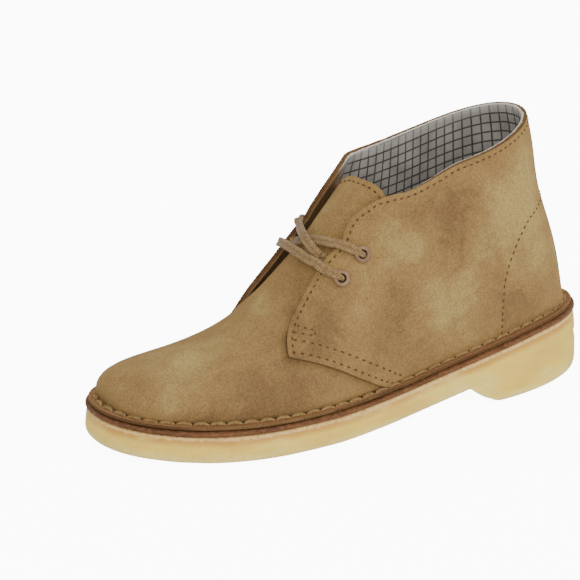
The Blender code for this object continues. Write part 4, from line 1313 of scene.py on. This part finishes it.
welt = {
    "pitch": 0.0079,
    "length": 0.0081,
    "width": 0.0025,
    "height": 0.0019,
    "arch": 0.0008,
    "leastInset": 0.0011,
    "wallGap": 0.0012,
    "foreInset": 0.0021,
    "heelInset": 0.0032,
    "foreEnd": -0.010,
    "heelStart": 0.040,
    "dip": 0.0006,
    "lift": 0.0002,
    "rayLift": 0.0003,
    "wallHeight": 0.02,
    "insetStep": 0.0002,
    "hole": (0.0011, 0.0011, 0.0009),
    "holeLift": 0.0003,
    "thread": srgb("80623A"),
    "threadLight": srgb("977B4E"),
    # the painted shadow of each stitch hole, and its edge
    "holeShadowColour": srgb("2B1E12"),
    "holeShadowEdge": srgb("3A2A1A"),
}


def weltPath(flange):
    # the line of the welt stitches and the side of it that is inwards
    rim = flangeOutside[:-1]
    centre = sum(rim, Vector()) / len(rim)
    ways = []
    for i in range(len(rim)):
        along = rim[(i + 1) % len(rim)] - rim[i - 1]
        ways.append(Vector((along.y, -along.x, 0.0)).normalized())
    turn = -1.0 if sum(way.dot(point - centre) for way, point in zip(ways, rim)) > 0 else 1.0
    wall, up = panelTree(suedeUpper, "vamp", "quarter"), Vector((0.0, 0.0, 1.0))
    path = []
    for point, way in zip(rim, ways):
        share = softStep((point.y - welt["foreEnd"]) / (welt["heelStart"] - welt["foreEnd"]))
        inset = welt["foreInset"] + (welt["heelInset"] - welt["foreInset"]) * share
        while inset > welt["leastInset"]:
            # the stitches stay out from under the wall above them
            inner = flange.find_nearest(point + way * turn * (inset + welt["wallGap"]))[0]
            if wall.ray_cast(inner + up * welt["rayLift"], up, welt["wallHeight"])[0] is None:
                break
            inset -= welt["insetStep"]
        path.append(flange.find_nearest(point + way * turn * inset)[0])
    return easeRun(path + [path[0]], 3), turn


def sewWelt():
    flange = panelTree(suedeUpper, "flange")
    path, turn = weltPath(flange)
    frames = framesAlong(path, flange, welt["pitch"], welt["lift"])
    bead = makeBead("weltStitch", welt["length"], welt["width"], welt["height"], 12, 12)
    for vert in bead.data.vertices:
        share = vert.co.x / (welt["length"] / 2)
        vert.co.z += welt["dip"] * (0.5 - share * share)
        vert.co.y -= turn * welt["arch"] * (0.5 - share * share)
    finish = threadFinish("weltThread", welt["thread"], welt["threadLight"])
    scatterCopies("weltStitches", bead, frames, finish)
    # painted shade: small dark beads on the flange stand for the shade down the welt's stitch holes
    dots = []
    for point in resample(path, welt["pitch"])[:-1]:
        near, normal, _, _ = flange.find_nearest(point)
        upright = normal.to_track_quat('Z', 'Y').to_matrix().to_4x4()
        dots.append(Matrix.Translation(near + normal * welt["holeLift"]) @ upright)
    hole = makeBead("weltHole", *welt["hole"], 8, 6)
    holeShade = threadFinish("holeShade", welt["holeShadowColour"], welt["holeShadowEdge"])
    scatterCopies("weltHoleShadows", hole, dots, holeShade)
    print("welt stitches:", len(frames))


sewWelt()

laces = {
    "width": 0.0046,
    "thickness": 0.0017,
    "rim": 0.0009,
    "step": 0.0002,
    "plait": 0.0013,
    "relief": 0.00003,
    "profile": 20,
    # the lace's section: how square it is, the groove along its middle and the plait's slant
    "squareness": 0.7,
    "groove": 0.12,
    "grooveWidth": 0.16,
    "slant": 0.75,
    # in an eyelet it is drawn in to this share of its width and grows thicker
    "pinch": 0.60,
    "pinchStart": 0.0012,
    "pinchReach": 0.0050,
    "pinchGrowth": 0.35,
    "behind": (0.0035, 0.001),
    "clearance": 0.0001,
    "clearReach": 0.004,
    "sinkMost": 0.003,
    "roughness": 0.85,
    "shine": 0.2,
    "sheen": 0.2,
    "fibre": (850.0, 3.0, 0.75),
    "fibreRange": (0.42, 0.60, 0.0, 0.75),
    "fuzz": (2400.0, 2.0),
    "fuzzDepth": 0.0001,
    "guidePitch": 0.001,
    "easePitch": 0.0008,
    "curveSteps": 12,
    # each strand's own points between its eyelets, or down to its hidden end below the other facing
    "lowBar": ((-0.0205, -0.0225, 0.0805), (-0.0090, -0.0255, 0.0835), (0.0, -0.0260, 0.0840),
               (0.0090, -0.0248, 0.0828), (0.0180, -0.0215, 0.0803)),
    "outerStrand": ((0.0215, -0.0082, 0.0885), (0.0165, -0.0125, 0.0900), (0.0100, -0.0160, 0.0897),
                    (0.0030, -0.0185, 0.0884), (-0.0045, -0.0195, 0.0858), (-0.0120, -0.0180, 0.0825),
                    (-0.0195, -0.0142, 0.0799), (-0.0216, -0.0112, 0.0773)),
    "innerStrand": ((-0.0240, -0.0078, 0.0880), (-0.0190, -0.0122, 0.0906), (-0.0090, -0.0172, 0.0902),
                    (0.0, -0.0205, 0.0903), (0.0070, -0.0212, 0.0878), (0.0120, -0.0190, 0.0838),
                    (0.0174, -0.0140, 0.0797), (0.0197, -0.0114, 0.0773)),
    "dark": srgb("705636"),
    "light": srgb("9A7D53"),
}


def clearOf(run, trees, clear):
    # no point lies closer than half the lace to what is under it
    for i in range(2, len(run) - 2):
        for tree in trees:
            near, normal, _, _ = tree.find_nearest(run[i])
            gap = (run[i] - near).dot(normal)
            if -laces["sinkMost"] < gap < clear and (run[i] - near).length < laces["clearReach"]:
                run[i] = near + normal * clear
    return run


def roundRun(points, steps):
    # a smooth curve through every point
    points = [points[0] * 2 - points[1]] + points + [points[-1] * 2 - points[-2]]
    found = []
    for a, b, c, d in zip(points, points[1:], points[2:], points[3:]):
        square, cube = 2 * a - 5 * b + 4 * c - d, 3 * b - a - 3 * c + d
        for i in range(steps):
            t = i / steps
            found.append(0.5 * (2 * b + (c - a) * t + square * t * t + cube * t ** 3))
    return found + [points[-2]]


def eyeletPinch(point, holes):
    pinch = 1.0
    for hole in holes:
        share = softStep(((point - hole).length - laces["pinchStart"]) / laces["pinchReach"])
        pinch = min(pinch, laces["pinch"] + (1 - laces["pinch"]) * share)
    return pinch


def braidPoint(angle, travel, pinch):
    # one point of the section: across, up, and how high it lies in the plait, which the colour reads as
    # painted shade in the plait's hollows and along its middle groove
    wide, high = (copysign(abs(part) ** laces["squareness"], part) for part in (cos(angle), sin(angle)))
    groove = 1 - laces["groove"] * exp(-(wide / laces["grooveWidth"]) ** 2)
    phase = travel / laces["plait"] + abs(wide) * laces["slant"] + (0.5 if wide > 0 else 0.0)
    weave = abs(sin(pi * phase)) ** 0.6
    bulge = laces["relief"] * (weave - 0.6)
    thickness = laces["thickness"] * groove * (1.0 + laces["pinchGrowth"] * (1 - pinch))
    across = wide * (laces["width"] / 2 * pinch + bulge * 0.6)
    return across, high * (thickness / 2 + bulge), weave * (0.45 + 0.55 * min(1.0, abs(wide) / 0.25))


def strandNormals(path, tree):
    normals = [tree.find_nearest(point)[1] for point in path]
    for _ in range(30):
        inner = [(a + b + c).normalized() for a, b, c in zip(normals, normals[1:], normals[2:])]
        normals = [normals[0]] + inner + [normals[-1]]
    return normals


def strandMesh(shape, path, tree, holes):
    path = resample(easeRun(resample(path, laces["easePitch"]), 3), laces["step"])
    normals = strandNormals(path, tree)
    last, total = len(path) - 1, runLength(path)
    layer = shape.verts.layers.float.new("plait")
    rings, sides = [], laces["profile"]
    for i, point in enumerate(path):
        along = (path[min(i + 1, last)] - path[max(i - 1, 0)]).normalized()
        across = along.cross(normals[i]).normalized()
        rise = across.cross(along).normalized()
        pinch = eyeletPinch(point, holes)
        ring = []
        for j in range(sides):
            x, z, plait = braidPoint(2 * pi * j / sides, total * i / last, pinch)
            vert = shape.verts.new(point + across * x + rise * z)
            vert[layer] = plait
            ring.append(vert)
        rings.append(ring)
    for first, second in zip(rings, rings[1:]):
        for j in range(sides):
            shape.faces.new((first[j], first[(j + 1) % sides], second[(j + 1) % sides], second[j]))
    shape.faces.new(rings[0][::-1])
    shape.faces.new(rings[-1])


def laceFinish():
    finish, tree, shader = newFinish("laceBraid", laces["roughness"], laces["shine"])
    place = objectPlace(tree)
    # painted shade: the lace is darker where the plait lies low and along its middle groove, lighter on the
    # raised strands
    plait = rangeNode(tree, attributeNode(tree, "plait"), 0.15, 0.85)
    tone = mixColour(tree, plait, laces["dark"], laces["light"])
    fibre = patternMask(tree, place, laces["fibre"], *laces["fibreRange"])
    tone = mixColour(tree, fibre, tone, laces["dark"])
    tree.links.new(tone, shader.inputs["Base Color"])
    shader.inputs["Sheen Weight"].default_value = laces["sheen"]
    bumpFrom(tree, shader, noiseNode(tree, place, *laces["fuzz"]), laces["fuzzDepth"], 0.6)
    return finish


def throughEyelet(name):
    centre, out = (Vector(part) for part in eyelets[name])
    deep, shallow = laces["behind"]
    return [centre - out * deep, centre - out * shallow,
            centre + out * (laces["rim"] + laces["thickness"] * 0.55)]


def makeLaces():
    skin = panelTree(suedeUpper)
    shape = bmesh.new()
    trees = [skin]
    clear = laces["thickness"] / 2 + laces["clearance"]
    strands = (("outerStrand", "outerUpper", None), ("innerStrand", "innerUpper", None),
               ("lowBar", "innerLower", "outerLower"))
    for strandName, first, second in strands:
        points = throughEyelet(first) + [Vector(p) for p in laces[strandName]]
        if second:
            points += throughEyelet(second)[::-1]
        guide = resample(roundRun(points, laces["curveSteps"]), laces["guidePitch"])
        path = easeRun(clearOf(guide, trees, clear), 3)
        holes = [Vector(eyelets[name][0]) for name in (first, second) if name]
        strand = bmesh.new()
        strandMesh(strand, path, skin, holes)
        bmesh.ops.recalc_face_normals(strand, faces=strand.faces)
        trees.append(BVHTree.FromBMesh(strand))
        mesh = bpy.data.meshes.new("strand")
        strand.to_mesh(mesh)
        strand.free()
        shape.from_mesh(mesh)
        bpy.data.meshes.remove(mesh)
        print("strand from", first, round(runLength(path) * 1000), "mm")
    mesh = bpy.data.meshes.new("laceBraids")
    shape.to_mesh(mesh)
    shape.free()
    obj = bpy.data.objects.new("laceBraids", mesh)
    bpy.context.scene.collection.objects.link(obj)
    only(obj)
    bpy.ops.object.shade_smooth()
    obj.data.materials.append(laceFinish())
    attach(obj, "root")
    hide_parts("lace")


makeLaces()
print("laces made")
